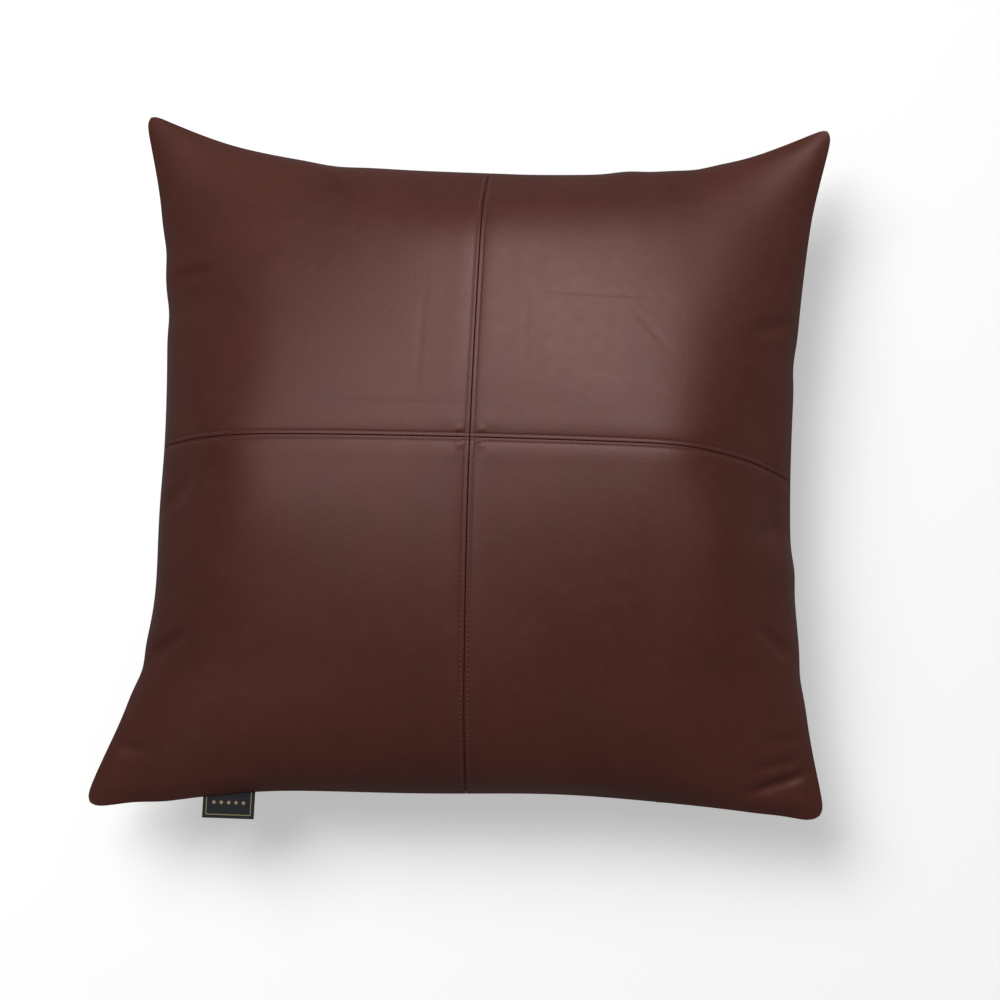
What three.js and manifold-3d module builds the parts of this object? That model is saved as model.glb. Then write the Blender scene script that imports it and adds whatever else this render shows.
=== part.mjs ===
// A square throw cushion in a leather cover, lying on its back. Its front is four quarters of leather with
// topstitched seams, and its bottom edge holds a zip. Inside is a cotton cushion with a filling.
// Lengths are in millimetres. X runs across the cushion, Y towards its top edge and Z up, out of its front.
// The origin is the middle of the flat patch of the back that the cushion rests on.

import * as THREE from "three";
import { mergeVertices } from "three/addons/utils/BufferGeometryUtils.js";
import Module from "manifold-3d";

const wasm = await Module();
wasm.setup();

// Cover
const TIP_SPAN = 440; // between neighbouring corner tips
const PULL_IN = { right: 21, top: 32, left: 24, bottom: 12 }; // how far a side's middle draws in
const PULL_POWER = { right: 2, top: 2, left: 2, bottom: 5 }; // high where the zip keeps a side straight
const SEAM_HEIGHT = 54; // the edge seam, above the resting face
const FRONT_RISE = 62; // the crown, above the edge seam
const BACK_DEPTH = 74; // how far the back would hang below the edge seam if nothing pressed it flat
const LEATHER = 1.1;
const SEAM_ALLOWANCE = 8; // turned in at the edge seam
const GROOVE_DEPTH = 3; // the front's dip along its seams
const GROOVE_REACH = 4; // how far from a seam the dip fades

// Thread
const STITCH_OFFSET = 2.4; // from a seam to its row of topstitching
const RIDGE_OFFSET = 8; // from a seam to where the leather is full again
const TOPSTITCH_THREAD = 0.7;
const SEWING_THREAD = 0.5;
const TOUCHING_GAP = 0.35; // left between two pieces that lie on each other
const SEAM_GAP = SEWING_THREAD + 2 * TOUCHING_GAP; // between sewn layers, with the thread in it

// Inner cushion
const INSERT_INSET = 10; // its edge, inside the cover's
const INSERT_CLEARANCE = 3; // under the cover's front
const COTTON = 0.6;
const LAYER_GAP = 0.6;
const FILLING_INSET = 5; // inside the cotton's edge
const FILLING_RIM = SEAM_GAP / 2; // the filling's thickness at its edge

// Zip
const ZIP_LENGTH = 320;
const ZIP_RECESS = 1.9; // the chain's middle, behind the edge of the leather
const ZIP_MOUTH = 12; // between the leather of the front and of the back
const MOUTH_TAPER = 28; // over which the mouth closes beyond its ends
const MOUTH_DEPTH = 0.4; // share of the way in from the bottom side over which the mouth fades
const COIL_WIDTH = 2.2;
const COIL_THICKNESS = 2;
const CHAIN_GAP = 1.8; // between the two coil halves
const TAPE_THICKNESS = 0.7;
const TAPE_HALF_WIDTH = 11.5; // from the chain's middle to a tape's outer edge
const TAPE_CLEARANCE = 3.2; // from the leather's inner face in to a tape's outer edge
const STOP_LENGTH = 3;
const STOP_DEPTH = 1.6; // how far a stop stands out in front of the tape
const SLIDER_LENGTH = 14;
const SLIDER_PLATE = 1.2;
const SLIDER_WALL = 0.7;
const SLIDER_CLEARANCE = 0.4;
const SLIDER_SIDE_CLEARANCE = 0.5; // between the coil and the slider's side walls
const POST_LENGTH = 4; // the post between its plates
const POST_INSET = 1; // from the slider's front end to the post
const BRIDGE_LENGTH = 6.8;
const BRIDGE_WIDTH = 2.2;
const BRIDGE_BAR = 1;
const BRIDGE_WINDOW = 2.1; // its height
const PULL_LENGTH = 28;
const PULL_WIDTH = 7;
const PULL_THICKNESS = 1.1;
const PULL_SHOULDER = 2; // over which the pull widens from its crossbar
const PULL_HOLE = 4; // across the hole at the pull's free end

// Side label
const LABEL_WIDTH = 31.5;
const LABEL_INSET = 3.75; // from the zip's end to the label's edge
const LABEL_SHOWN = 21.5; // beyond the edge of the leather
const LABEL_TUCKED = 2; // behind the edge of the leather
const LABEL_CLOTH = 0.25;
const LABEL_THICKNESS = 0.7; // folded

// How finely curved pieces are divided
const QUARTER_STEPS = 9;
const INSERT_STEPS = 6;
const THREAD_SIDES = 5;
const COIL_SEGMENTS = 8;
const FOLD_SEGMENTS = 4;
const PULL_SEGMENTS = 8;

const HALF = TIP_SPAN / 2;
const SLIDER_END = ZIP_LENGTH / 2 - 2 * STOP_LENGTH - SLIDER_LENGTH / 2; // furthest from the zip's middle
const MOUTH_HALF = SLIDER_END + PULL_LENGTH + SLIDER_CLEARANCE; // as far as the pull reaches
const BOTTOM_EDGE = -(HALF - PULL_IN.bottom);

const materials = {
  leather: { color: 0x5a352f, roughness: 0.45 },
  lining: { color: 0xd8d0c2, roughness: 0.95 },
  filling: { color: 0xf2efe8, roughness: 1 },
  thread: { color: 0x4c2a25, roughness: 0.8 },
  tape: { color: 0x3a2521, roughness: 0.95 },
  coil: { color: 0x33211e, roughness: 0.5 },
  metal: { color: 0x8d7a5a, roughness: 0.35, metalness: 1 },
  label: { color: 0x191b1f, roughness: 0.9 },
};

// --- Solids ---

// The geometry as one closed body, with its shared corners merged and its empty triangles left out.
function closed(geometry) {
  const bare = new THREE.BufferGeometry();
  bare.setAttribute("position", geometry.getAttribute("position"));
  if (geometry.index) bare.setIndex(geometry.index);
  const merged = mergeVertices(bare, 1e-4);
  const corners = merged.index.array;
  const kept = [];
  for (let i = 0; i < corners.length; i += 3) {
    const [a, b, c] = corners.slice(i, i + 3);
    if (a !== b && b !== c && c !== a) kept.push(a, b, c);
  }
  merged.setIndex(kept);
  return merged;
}

function solid(geometry) {
  const merged = closed(geometry);
  const vertProperties = merged.getAttribute("position").array;
  const triVerts = new Uint32Array(merged.index.array);
  return new wasm.Manifold(new wasm.Mesh({ numProp: 3, vertProperties, triVerts }));
}

function geometryOf(manifold) {
  const { vertProperties, triVerts } = manifold.getMesh();
  const geometry = new THREE.BufferGeometry();
  geometry.setAttribute("position", new THREE.BufferAttribute(vertProperties, 3));
  return geometry.setIndex(new THREE.BufferAttribute(triVerts, 1));
}

function joined(...geometries) {
  return geometryOf(geometries.map(solid).reduce((a, b) => a.add(b)));
}

function cut(geometry, ...tools) {
  return geometryOf(tools.map(solid).reduce((a, b) => a.subtract(b), solid(geometry)));
}

function block([x0, x1], [y0, y1], [z0, z1]) {
  const box = new THREE.BoxGeometry(x1 - x0, y1 - y0, z1 - z0);
  return box.translate((x0 + x1) / 2, (y0 + y1) / 2, (z0 + z1) / 2);
}

// An outline whose two axes are Y and Z, drawn out along X.
function extrudedAlongX(outline, depth, curveSegments) {
  const geometry = new THREE.ExtrudeGeometry(outline, { depth, bevelEnabled: false, curveSegments });
  const axes = [[0, 1, 0], [0, 0, 1], [1, 0, 0]].map((axis) => new THREE.Vector3(...axis));
  return closed(geometry.applyMatrix4(new THREE.Matrix4().makeBasis(...axes)));
}

// Splits each square of one side of a box along its other diagonal.
function turnDiagonals(box, side) {
  const { start, count } = box.groups[side];
  const corners = box.index.array;
  for (let k = start; k < start + count; k += 6) {
    const [a, b, d, , c] = corners.slice(k, k + 5);
    corners.set([a, b, c, a, c, d], k);
  }
}

// A sheet or cushion on a grid: place(i, j, upper) is the grid's corner i, j on its upper or lower face.
// Its squares are split the same way on both faces: up to the right if rising, and down to the right if not.
function sheet(columns, rows, rising, place) {
  const grid = new THREE.BoxGeometry(1, 1, 1, columns - 1, rows - 1, 1);
  const [upperSide, lowerSide] = [4, 5];
  turnDiagonals(grid, rising ? lowerSide : upperSide);
  const position = grid.getAttribute("position");
  for (let k = 0; k < position.count; k++) {
    const i = Math.round((position.getX(k) + 0.5) * (columns - 1));
    const j = Math.round((position.getY(k) + 0.5) * (rows - 1));
    position.setXYZ(k, ...place(i, j, position.getZ(k) > 0));
  }
  return closed(grid);
}

// A smooth curve through points that is divided by their number and not by length, so each is a division.
class StationCurve extends THREE.CatmullRomCurve3 {
  getPointAt(t, target) {
    return this.getPoint(t, target);
  }

  getTangentAt(t, target) {
    return this.getTangent(t, target);
  }
}

// A rod along a smooth curve through the points.
function rod(points, thickness) {
  const section = new THREE.Shape();
  for (let k = 0; k < THREAD_SIDES; k++) {
    const angle = (2 * Math.PI * k) / THREAD_SIDES;
    const corner = [(thickness / 2) * Math.cos(angle), (thickness / 2) * Math.sin(angle)];
    if (k) section.lineTo(...corner);
    else section.moveTo(...corner);
  }
  const extrudePath = new StationCurve(points.map((p) => new THREE.Vector3(...p)));
  const steps = points.length - 1;
  return closed(new THREE.ExtrudeGeometry(section, { extrudePath, steps }));
}

// --- The cushion's shape ---

// A station is where a point lies between the middle of the cushion and a side: a distance from a seam in
// mm, or a share of the way to the side, below 0 on the left and at the bottom.
const atSide = (station) => Math.abs(station.share ?? 0) === 1;

// A station a little further along, to measure a slope with.
function nudged(station) {
  const nudge = 0.2;
  return station.mm === undefined ? { share: station.share + nudge / HALF } : { mm: station.mm + nudge };
}

// How far the side called name is from the middle, at a place along it from -1 to 1.
function reach(name, along, inset = 0) {
  return HALF - inset - PULL_IN[name] * (1 - Math.abs(along) ** PULL_POWER[name]);
}

const sideX = (sign) => (sign < 0 ? "left" : "right");
const sideY = (sign) => (sign < 0 ? "bottom" : "top");

// The fullness at shares u and v of the way to the sides: 1 in the middle and 0 at the edge.
function crown(u, v) {
  return Math.sqrt(Math.max(0, (1 - u * u) * (1 - v * v)));
}

// Half of the gap between the front and the back at the edge: wide along the zip, a seam's width elsewhere.
function halfGap(x, v) {
  const beyond = THREE.MathUtils.smoothstep(Math.abs(x), MOUTH_HALF, MOUTH_HALF + MOUTH_TAPER);
  const atBottom = THREE.MathUtils.smoothstep(-v, 1 - MOUTH_DEPTH, 1);
  return (SEAM_GAP + (ZIP_MOUTH - SEAM_GAP) * (1 - beyond) * atBottom) / 2;
}

// How much the front dips at a distance from a seam.
function dip(distance) {
  return GROOVE_DEPTH * Math.exp(-((distance / GROOVE_REACH) ** 2));
}

// Stations from the middle to a side, closer together towards the side, where the cushion curves most.
function outwards(steps) {
  return Array.from({ length: steps + 1 }, (_, k) => ({ share: Math.sin((k * Math.PI) / 2 / steps) }));
}

// Stations right across the cushion, from one side to the other.
function across(steps) {
  const half = outwards(steps);
  const other = half.slice(1).map(({ share }) => ({ share: -share }));
  return [...other.reverse(), ...half];
}

// The unit normal, with Z above 0, of a surface that gives a point for each two stations.
function upwards(surface, stationX, stationY) {
  const at = (a, b) => new THREE.Vector3(...surface(a, b));
  const point = at(stationX, stationY);
  const alongX = at(nudged(stationX), stationY).sub(point);
  const alongY = at(stationX, nudged(stationY)).sub(point);
  const normal = alongX.cross(alongY).normalize();
  return normal.z < 0 ? normal.negate() : normal;
}

// The point height mm above a surface, at right angles to it.
function above(surface, stationX, stationY, height) {
  const point = new THREE.Vector3(...surface(stationX, stationY));
  return point.addScaledVector(upwards(surface, stationX, stationY), height).toArray();
}

// --- The cover ---

const seamStations = [{ mm: 0 }, { mm: STITCH_OFFSET }, { mm: RIDGE_OFFSET }];
const quarterStations = [...seamStations, ...outwards(QUARTER_STEPS).slice(1)];

// The outer face of a front quarter, for stations that are all above 0.
function frontSurface(signX, signY) {
  const shareOf = (station, far) => station.share ?? station.mm / (far - SEAM_GAP / 2);
  const placeOf = (station, far) => SEAM_GAP / 2 + (station.mm ?? station.share * (far - SEAM_GAP / 2));
  return (stationX, stationY) => {
    const farX = reach(sideX(signX), shareOf(stationY, reach(sideY(signY), 0)));
    const farY = reach(sideY(signY), shareOf(stationX, reach(sideX(signX), 0)));
    const [x, y] = [placeOf(stationX, farX), placeOf(stationY, farY)];
    const [u, v] = [shareOf(stationX, farX), shareOf(stationY, farY)];
    const full = crown(u, v);
    const seamDip = (dip(x - SEAM_GAP / 2) + dip(y - SEAM_GAP / 2)) * full;
    return [signX * x, signY * y, SEAM_HEIGHT + halfGap(x, signY * v) + FRONT_RISE * full - seamDip];
  };
}

// The point in plan at shares u and v, on a layer whose edge lies inset mm inside the cover's.
function planPoint(u, v, inset) {
  return [u * reach(sideX(u), v, inset), v * reach(sideY(v), u, inset)];
}

function backSurface({ share: u }, { share: v }) {
  const [x, y] = planPoint(u, v, 0);
  return [x, y, Math.max(0, SEAM_HEIGHT - halfGap(x, v) - BACK_DEPTH * crown(u, v))];
}

// A leather point on a side of the cushion, or on the raw edge of the allowance that is turned in there.
// wall is 0 on the leather's outer face and its thickness on the inner one. up is 1 for the front.
function edgePoint([x, y, z], stationX, stationY, turned, wall, up) {
  const inwards = turned ? SEAM_ALLOWANCE : wall;
  const moved = (place, station) => place - Math.sign(place) * (atSide(station) ? inwards : 0);
  const mitre = turned ? 1 - SEAM_ALLOWANCE / HALF : 1;
  const scaled = (place, station) => (atSide(station) ? 1 : mitre) * moved(place, station);
  return [scaled(x, stationX), scaled(y, stationY), z + up * wall];
}

// A leather panel over the columns and rows of stations, with the allowance turned in at turnedSides.
function panel(surface, columns, rows, rising, up, turnedSides) {
  const { left, right, top, bottom } = turnedSides;
  const extended = (list, before, after) => [
    ...(before ? [{ ...list[0], turned: true }] : []),
    ...list,
    ...(after ? [{ ...list.at(-1), turned: true }] : []),
  ];
  const [alongX, alongY] = [extended(columns, left, right), extended(rows, bottom, top)];
  return sheet(alongX.length, alongY.length, rising, (i, j, upper) => {
    const [stationX, stationY] = [alongX[i], alongY[j]];
    const wall = upper === up > 0 ? 0 : LEATHER;
    if (atSide(stationX) || atSide(stationY)) {
      const turned = Boolean(stationX.turned || stationY.turned);
      return edgePoint(surface(stationX, stationY), stationX, stationY, turned, wall, up);
    }
    return above(surface, stationX, stationY, -up * wall);
  });
}

// One leather quarter of the front. Its bottom side, if it has one, ends at the zip with no allowance.
function frontPanel(signX, signY) {
  const inOrder = (sign) => (sign > 0 ? quarterStations : quarterStations.toReversed());
  const turnedSides = { left: signX < 0, right: signX > 0, top: signY > 0, bottom: false };
  const surface = frontSurface(signX, signY);
  return panel(surface, inOrder(signX), inOrder(signY), signX === signY, 1, turnedSides);
}

function backPanel() {
  const stations = across(QUARTER_STEPS);
  const turnedSides = { left: true, right: true, top: true, bottom: false };
  return panel(backSurface, stations, stations, true, -1, turnedSides);
}

// --- Thread ---

// The stations along one arm of a seam, from its inner end to just short of the edge seam.
const threadStations = quarterStations.filter((station) => !atSide(station));
const threadLift = TOPSTITCH_THREAD / 2 + TOUCHING_GAP;
const beside = { mm: STITCH_OFFSET };
const onSeam = { mm: 0 };

// A row of topstitching beside the vertical seam, unbroken from the bottom to the top.
function verticalTopstitch(signX) {
  const arm = (signY) =>
    threadStations.map((station) => above(frontSurface(signX, signY), beside, station, threadLift));
  return rod([...arm(-1).reverse(), ...arm(1)], TOPSTITCH_THREAD);
}

// A row of topstitching beside one half of the horizontal seam. It starts clear of the vertical row.
function horizontalTopstitch(signX, signY) {
  const surface = frontSurface(signX, signY);
  const points = threadStations.slice(2).map((station) => above(surface, station, beside, threadLift));
  return rod(points, TOPSTITCH_THREAD);
}

// The thread inside the vertical seam, half a leather's thickness down in the gap between the quarters.
function verticalSeamThread() {
  const arm = (signY) =>
    threadStations.map((station) => {
      const [, y, z] = frontSurface(1, signY)(onSeam, station);
      return [0, y, z - LEATHER / 2];
    });
  return rod([...arm(-1).reverse(), ...arm(1)], SEWING_THREAD);
}

// The thread inside one half of the horizontal seam.
function horizontalSeamThread(signX) {
  const points = threadStations.slice(1).map((station) => {
    const [x, , z] = frontSurface(signX, 1)(station, onSeam);
    return [x, 0, z - LEATHER / 2];
  });
  return rod(points, SEWING_THREAD);
}

// Points along the sides of a layer that lies inset mm inside the cover's edge, going round clockwise.
const alongSide = [-0.985, -0.85, -0.7, -0.4, 0, 0.4, 0.7, 0.85, 0.985];
const left = (inset) => alongSide.map((v) => planPoint(-1, v, inset));
const top = (inset) => alongSide.map((u) => planPoint(u, 1, inset));
const right = (inset) => alongSide.map((v) => planPoint(1, -v, inset));
const bottom = (inset) => alongSide.map((u) => planPoint(-u, -1, inset));

// The thread of the edge seam: up the left side, along the top and down the right side.
function edgeSeamThread() {
  const inset = SEAM_ALLOWANCE / 2;
  const points = [...left(inset), ...top(inset), ...right(inset)];
  return rod(points.map(([x, y]) => [x, y, SEAM_HEIGHT]), SEWING_THREAD);
}

// --- Inner cushion ---

const insertRise = FRONT_RISE - GROOVE_DEPTH - 2 * LEATHER - INSERT_CLEARANCE;
const insertBackDepth = BACK_DEPTH - 2 * LEATHER - INSERT_CLEARANCE;
const insertFloor = LEATHER + LAYER_GAP;

// The inner cushion's front or back, depth mm inside its cotton's outer face. rim is half of the gap at its
// edge.
function insertPoint(front, { share: u }, { share: v }, inset, depth, rim) {
  const full = crown(u, v);
  const z = front
    ? SEAM_HEIGHT + rim + (insertRise - depth) * full
    : Math.max(insertFloor + depth, SEAM_HEIGHT - rim - (insertBackDepth - depth) * full);
  return [...planPoint(u, v, INSERT_INSET + inset), z];
}

function insertShell(front) {
  const stations = across(INSERT_STEPS);
  return sheet(stations.length, stations.length, true, (i, j, upper) => {
    const depth = upper === front ? 0 : COTTON;
    return insertPoint(front, stations[i], stations[j], depth, depth, SEAM_GAP / 2);
  });
}

function insertFilling() {
  const stations = across(INSERT_STEPS);
  return sheet(stations.length, stations.length, true, (i, j, upper) =>
    insertPoint(upper, stations[i], stations[j], FILLING_INSET, COTTON + LAYER_GAP, FILLING_RIM / 2),
  );
}

// The thread that closes the cotton, round all four sides. Its two ends are near the bottom left corner.
function insertThread() {
  const inset = INSERT_INSET + COTTON / 2;
  const points = [...left(inset), ...top(inset), ...right(inset), ...bottom(inset)];
  return rod(points.map(([x, y]) => [x, y, SEAM_HEIGHT]), SEWING_THREAD);
}

// --- Zip, in its own frame: the origin is the chain's middle, and -Y points out of the cushion ---

const coilInner = CHAIN_GAP / 2;
const coilOuter = coilInner + COIL_WIDTH;
const tapeFront = COIL_THICKNESS / 2 + TOUCHING_GAP;
const tapeBack = tapeFront + TAPE_THICKNESS;
const sliderHalfWidth = coilOuter + SLIDER_SIDE_CLEARANCE + SLIDER_WALL;

// A zip piece's span in Z, on the front's side of the chain or mirrored to the back's.
function onSide(side, near, far) {
  return side > 0 ? [near, far] : [-far, -near];
}

// How far behind the chain a tape's outer edge lies, so that the zip's ends clear the leather over them.
function tapeEdge() {
  const u = ZIP_LENGTH / 2 / HALF;
  const rise = TAPE_HALF_WIDTH + LEATHER - ZIP_MOUTH / 2;
  const v = Math.sqrt(1 - (rise / FRONT_RISE) ** 2 / (1 - u * u));
  const leatherY = -v * reach("bottom", u) + LEATHER;
  return leatherY + TAPE_CLEARANCE - (BOTTOM_EDGE + ZIP_RECESS);
}

// A tape. It is flat behind the coil and the slider, and its outer edge leans in under the leather.
function zipTape(side) {
  const edge = tapeEdge();
  const flat = sliderHalfWidth + SLIDER_CLEARANCE;
  const outline = new THREE.Shape();
  outline.moveTo(tapeFront, side * coilInner);
  outline.lineTo(tapeBack, side * coilInner);
  outline.lineTo(tapeBack, side * flat);
  outline.lineTo(edge + TAPE_THICKNESS, side * TAPE_HALF_WIDTH);
  outline.lineTo(edge, side * TAPE_HALF_WIDTH);
  outline.lineTo(tapeFront, side * flat);
  outline.closePath();
  return extrudedAlongX(outline, ZIP_LENGTH, 1).translate(-ZIP_LENGTH / 2, 0, 0);
}

// One half of the nylon coil, as the round-cornered bar that its turns fill.
function zipCoil(side) {
  const span = ZIP_LENGTH / 2 - 2 * STOP_LENGTH;
  const middle = (side * (coilInner + coilOuter)) / 2;
  const bar = new THREE.Shape();
  bar.absellipse(0, middle, COIL_THICKNESS / 2, COIL_WIDTH / 2, 0, 2 * Math.PI, false, 0);
  return extrudedAlongX(bar, 2 * span, COIL_SEGMENTS).translate(-span, 0, 0);
}

// A metal stop in front of the inner edge of one tape, or of both tapes if its span reaches across.
function zipStop(span) {
  const half = STOP_LENGTH / 2;
  const rear = tapeFront - TOUCHING_GAP;
  return block([-half, half], [rear - STOP_DEPTH, rear], span);
}

const sliderInnerFace = -COIL_THICKNESS / 2 - SLIDER_CLEARANCE;
const sliderOuterFace = sliderInnerFace - SLIDER_PLATE;
const pullAxisY = sliderOuterFace - BRIDGE_WINDOW / 2;

// The arch on the slider's outer plate that the pull's crossbar passes under.
function bridge() {
  const half = BRIDGE_LENGTH / 2;
  const inside = half - BRIDGE_BAR;
  const windowTop = sliderOuterFace - BRIDGE_WINDOW;
  const y = [windowTop - BRIDGE_BAR, sliderOuterFace + SLIDER_PLATE / 2];
  const arch = block([-half, half], y, [-BRIDGE_WIDTH / 2, BRIDGE_WIDTH / 2]);
  const window = block([-inside, inside], [windowTop, sliderOuterFace], [-BRIDGE_WIDTH, BRIDGE_WIDTH]);
  return cut(arch, window);
}

// The slider: two plates joined by a post between the coil halves, with side walls and a bridge.
function zipSlider() {
  const x = [-SLIDER_LENGTH / 2, SLIDER_LENGTH / 2];
  const half = sliderHalfWidth;
  const rear = tapeBack + SLIDER_CLEARANCE;
  const wallY = [sliderOuterFace + SLIDER_PLATE / 2, tapeFront - SLIDER_CLEARANCE];
  const postHalf = coilInner - SLIDER_CLEARANCE;
  const outerPlate = block(x, [sliderOuterFace, sliderInnerFace], [-half, half]);
  const innerPlate = block(x, [rear, rear + SLIDER_PLATE], [-half, half]);
  const walls = [1, -1].map((side) => block(x, wallY, onSide(side, half - SLIDER_WALL, half)));
  const postEnd = SLIDER_LENGTH / 2 - POST_INSET;
  const postY = [sliderInnerFace - SLIDER_PLATE / 2, rear + SLIDER_PLATE / 2];
  const post = block([postEnd - POST_LENGTH, postEnd], postY, [-postHalf, postHalf]);
  return joined(outerPlate, innerPlate, ...walls, post, bridge());
}

// The pull, about its own hinge axis. It lies towards -X, and its crossbar passes under the slider's bridge.
function zipPull() {
  const half = PULL_THICKNESS / 2;
  const armGap = BRIDGE_WIDTH / 2 + SLIDER_CLEARANCE;
  const windowEnd = -(BRIDGE_LENGTH / 2 + 3 * SLIDER_CLEARANCE);
  const shoulder = windowEnd - PULL_SHOULDER;
  const side = PULL_WIDTH / 2;
  const tab = new THREE.Shape();
  tab.moveTo(half, -armGap - PULL_THICKNESS);
  tab.lineTo(half, armGap + PULL_THICKNESS);
  tab.lineTo(shoulder, side);
  tab.lineTo(side - PULL_LENGTH, side);
  tab.absarc(side - PULL_LENGTH, 0, side, Math.PI / 2, (3 * Math.PI) / 2, false);
  tab.lineTo(shoulder, -side);
  tab.closePath();
  const window = new THREE.Path();
  window.moveTo(-half, -armGap);
  window.lineTo(windowEnd, -armGap);
  window.lineTo(windowEnd, armGap);
  window.lineTo(-half, armGap);
  window.closePath();
  const hole = new THREE.Path();
  hole.absarc(side - PULL_LENGTH, 0, PULL_HOLE / 2, 0, 2 * Math.PI, true);
  tab.holes.push(window, hole);
  const settings = { depth: PULL_THICKNESS, bevelEnabled: false, curveSegments: PULL_SEGMENTS };
  const geometry = new THREE.ExtrudeGeometry(tab, settings);
  return closed(geometry.translate(0, 0, -half).rotateX(Math.PI / 2));
}

// --- Side label ---

// A strip of cloth folded in two, with its fold outwards. Its ends are tucked behind the leather's edge.
function label() {
  const back = BOTTOM_EDGE + LABEL_TUCKED;
  const bend = BOTTOM_EDGE - LABEL_SHOWN + LABEL_THICKNESS / 2;
  const upper = SEAM_HEIGHT + ZIP_MOUTH / 2 - TOUCHING_GAP;
  const lower = upper - LABEL_THICKNESS;
  const outline = new THREE.Shape();
  outline.moveTo(back, upper);
  outline.lineTo(bend, upper);
  outline.absarc(bend, (upper + lower) / 2, LABEL_THICKNESS / 2, Math.PI / 2, (3 * Math.PI) / 2, false);
  outline.lineTo(back, lower);
  outline.lineTo(back, lower + LABEL_CLOTH);
  outline.lineTo(bend, lower + LABEL_CLOTH);
  outline.lineTo(bend, upper - LABEL_CLOTH);
  outline.lineTo(back, upper - LABEL_CLOTH);
  outline.closePath();
  return extrudedAlongX(outline, LABEL_WIDTH, FOLD_SEGMENTS).translate(LABEL_INSET - ZIP_LENGTH / 2, 0, 0);
}

// --- Assembly ---

const cushion = new THREE.Group();

function add(parent, name, geometry, material) {
  const mesh = new THREE.Mesh(geometry, new THREE.MeshStandardMaterial(materials[material]));
  mesh.name = name;
  parent.add(mesh);
  return mesh;
}

for (const [across, signX] of [["left", -1], ["right", 1]]) {
  for (const [up, signY] of [["top", 1], ["bottom", -1]]) {
    add(cushion, `front_panel_${up}_${across}`, frontPanel(signX, signY), "leather");
    add(cushion, `topstitch_horizontal_${across}_${up}`, horizontalTopstitch(signX, signY), "thread");
  }
  add(cushion, `topstitch_vertical_${across}`, verticalTopstitch(signX), "thread");
  add(cushion, `centre_seam_thread_${across}`, horizontalSeamThread(signX), "thread");
}
add(cushion, "centre_seam_thread_vertical", verticalSeamThread(), "thread");
add(cushion, "edge_seam_thread", edgeSeamThread(), "thread");
add(cushion, "back_panel", backPanel(), "leather");
add(cushion, "side_label", label(), "label");
add(cushion, "insert_shell_front", insertShell(true), "lining");
add(cushion, "insert_shell_back", insertShell(false), "lining");
add(cushion, "insert_thread", insertThread(), "lining");
add(cushion, "insert_filling", insertFilling(), "filling");

const zip = new THREE.Group();
zip.position.set(0, BOTTOM_EDGE + ZIP_RECESS, SEAM_HEIGHT);
cushion.add(zip);
for (const [name, side] of [["front", 1], ["back", -1]]) {
  add(zip, `zip_tape_${name}`, zipTape(side), "tape");
  add(zip, `zip_coil_${name}`, zipCoil(side), "coil");
  const stop = add(zip, `zip_top_stop_${name}`, zipStop(onSide(side, coilInner, coilOuter)), "metal");
  stop.position.x = ZIP_LENGTH / 2 - STOP_LENGTH;
}
const bottomStop = add(zip, "zip_bottom_stop", zipStop([-coilOuter, coilOuter]), "metal");
bottomStop.position.x = -(ZIP_LENGTH / 2 - STOP_LENGTH);

const slider = new THREE.Group();
slider.position.x = SLIDER_END;
zip.add(slider);
add(slider, "zip_slider", zipSlider(), "metal");
add(slider, "zip_pull", zipPull(), "metal").position.y = pullAxisY;

export default cushion;
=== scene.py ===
"""A square leather throw cushion, built round its CAD frame.

The cover is swollen by a cloth simulation, fitted to the frame and divided into its leather panels. The
stitches, the label, the zip and the inner cushion are added to it. Flat lengths are in metres on the cut
leather, measured from the crossing of the front's two seams. X runs across, Y to the top edge, Z out of the
front.
"""

import functools
import math

import bmesh
import bpy
import numpy as np
from mathutils import Matrix, Vector


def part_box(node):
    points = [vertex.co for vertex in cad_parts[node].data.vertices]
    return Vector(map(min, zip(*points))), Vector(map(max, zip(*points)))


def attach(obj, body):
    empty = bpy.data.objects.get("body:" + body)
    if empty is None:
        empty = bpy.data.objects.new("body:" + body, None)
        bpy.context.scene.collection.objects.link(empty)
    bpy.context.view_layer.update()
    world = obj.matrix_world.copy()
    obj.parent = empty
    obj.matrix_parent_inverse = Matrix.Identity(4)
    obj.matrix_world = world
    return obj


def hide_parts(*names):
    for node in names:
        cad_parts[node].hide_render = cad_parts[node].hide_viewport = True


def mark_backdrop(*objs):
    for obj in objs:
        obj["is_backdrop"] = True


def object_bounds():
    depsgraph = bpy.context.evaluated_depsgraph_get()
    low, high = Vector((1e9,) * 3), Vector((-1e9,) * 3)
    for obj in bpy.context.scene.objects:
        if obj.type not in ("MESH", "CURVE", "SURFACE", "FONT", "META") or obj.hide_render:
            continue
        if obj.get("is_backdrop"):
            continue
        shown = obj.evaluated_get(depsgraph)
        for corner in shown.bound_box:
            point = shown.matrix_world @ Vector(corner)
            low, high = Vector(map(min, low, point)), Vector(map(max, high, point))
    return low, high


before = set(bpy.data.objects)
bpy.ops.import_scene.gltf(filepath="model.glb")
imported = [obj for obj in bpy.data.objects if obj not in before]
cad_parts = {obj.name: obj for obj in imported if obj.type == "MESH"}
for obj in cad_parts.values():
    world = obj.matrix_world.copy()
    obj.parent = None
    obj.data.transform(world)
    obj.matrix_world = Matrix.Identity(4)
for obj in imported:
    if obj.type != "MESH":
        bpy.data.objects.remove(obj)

CAD_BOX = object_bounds()

bl_info = {
    "name": "Leather throw cushion",
    "version": (1, 0, 0),
    "blender": (4, 5, 0),
    "location": "View3D > Sidebar > Cushion",
    "description": "Builds a zipped leather cushion with a quartered front",
    "category": "Add Mesh",
}

# --- Places taken from the frame ---

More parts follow.
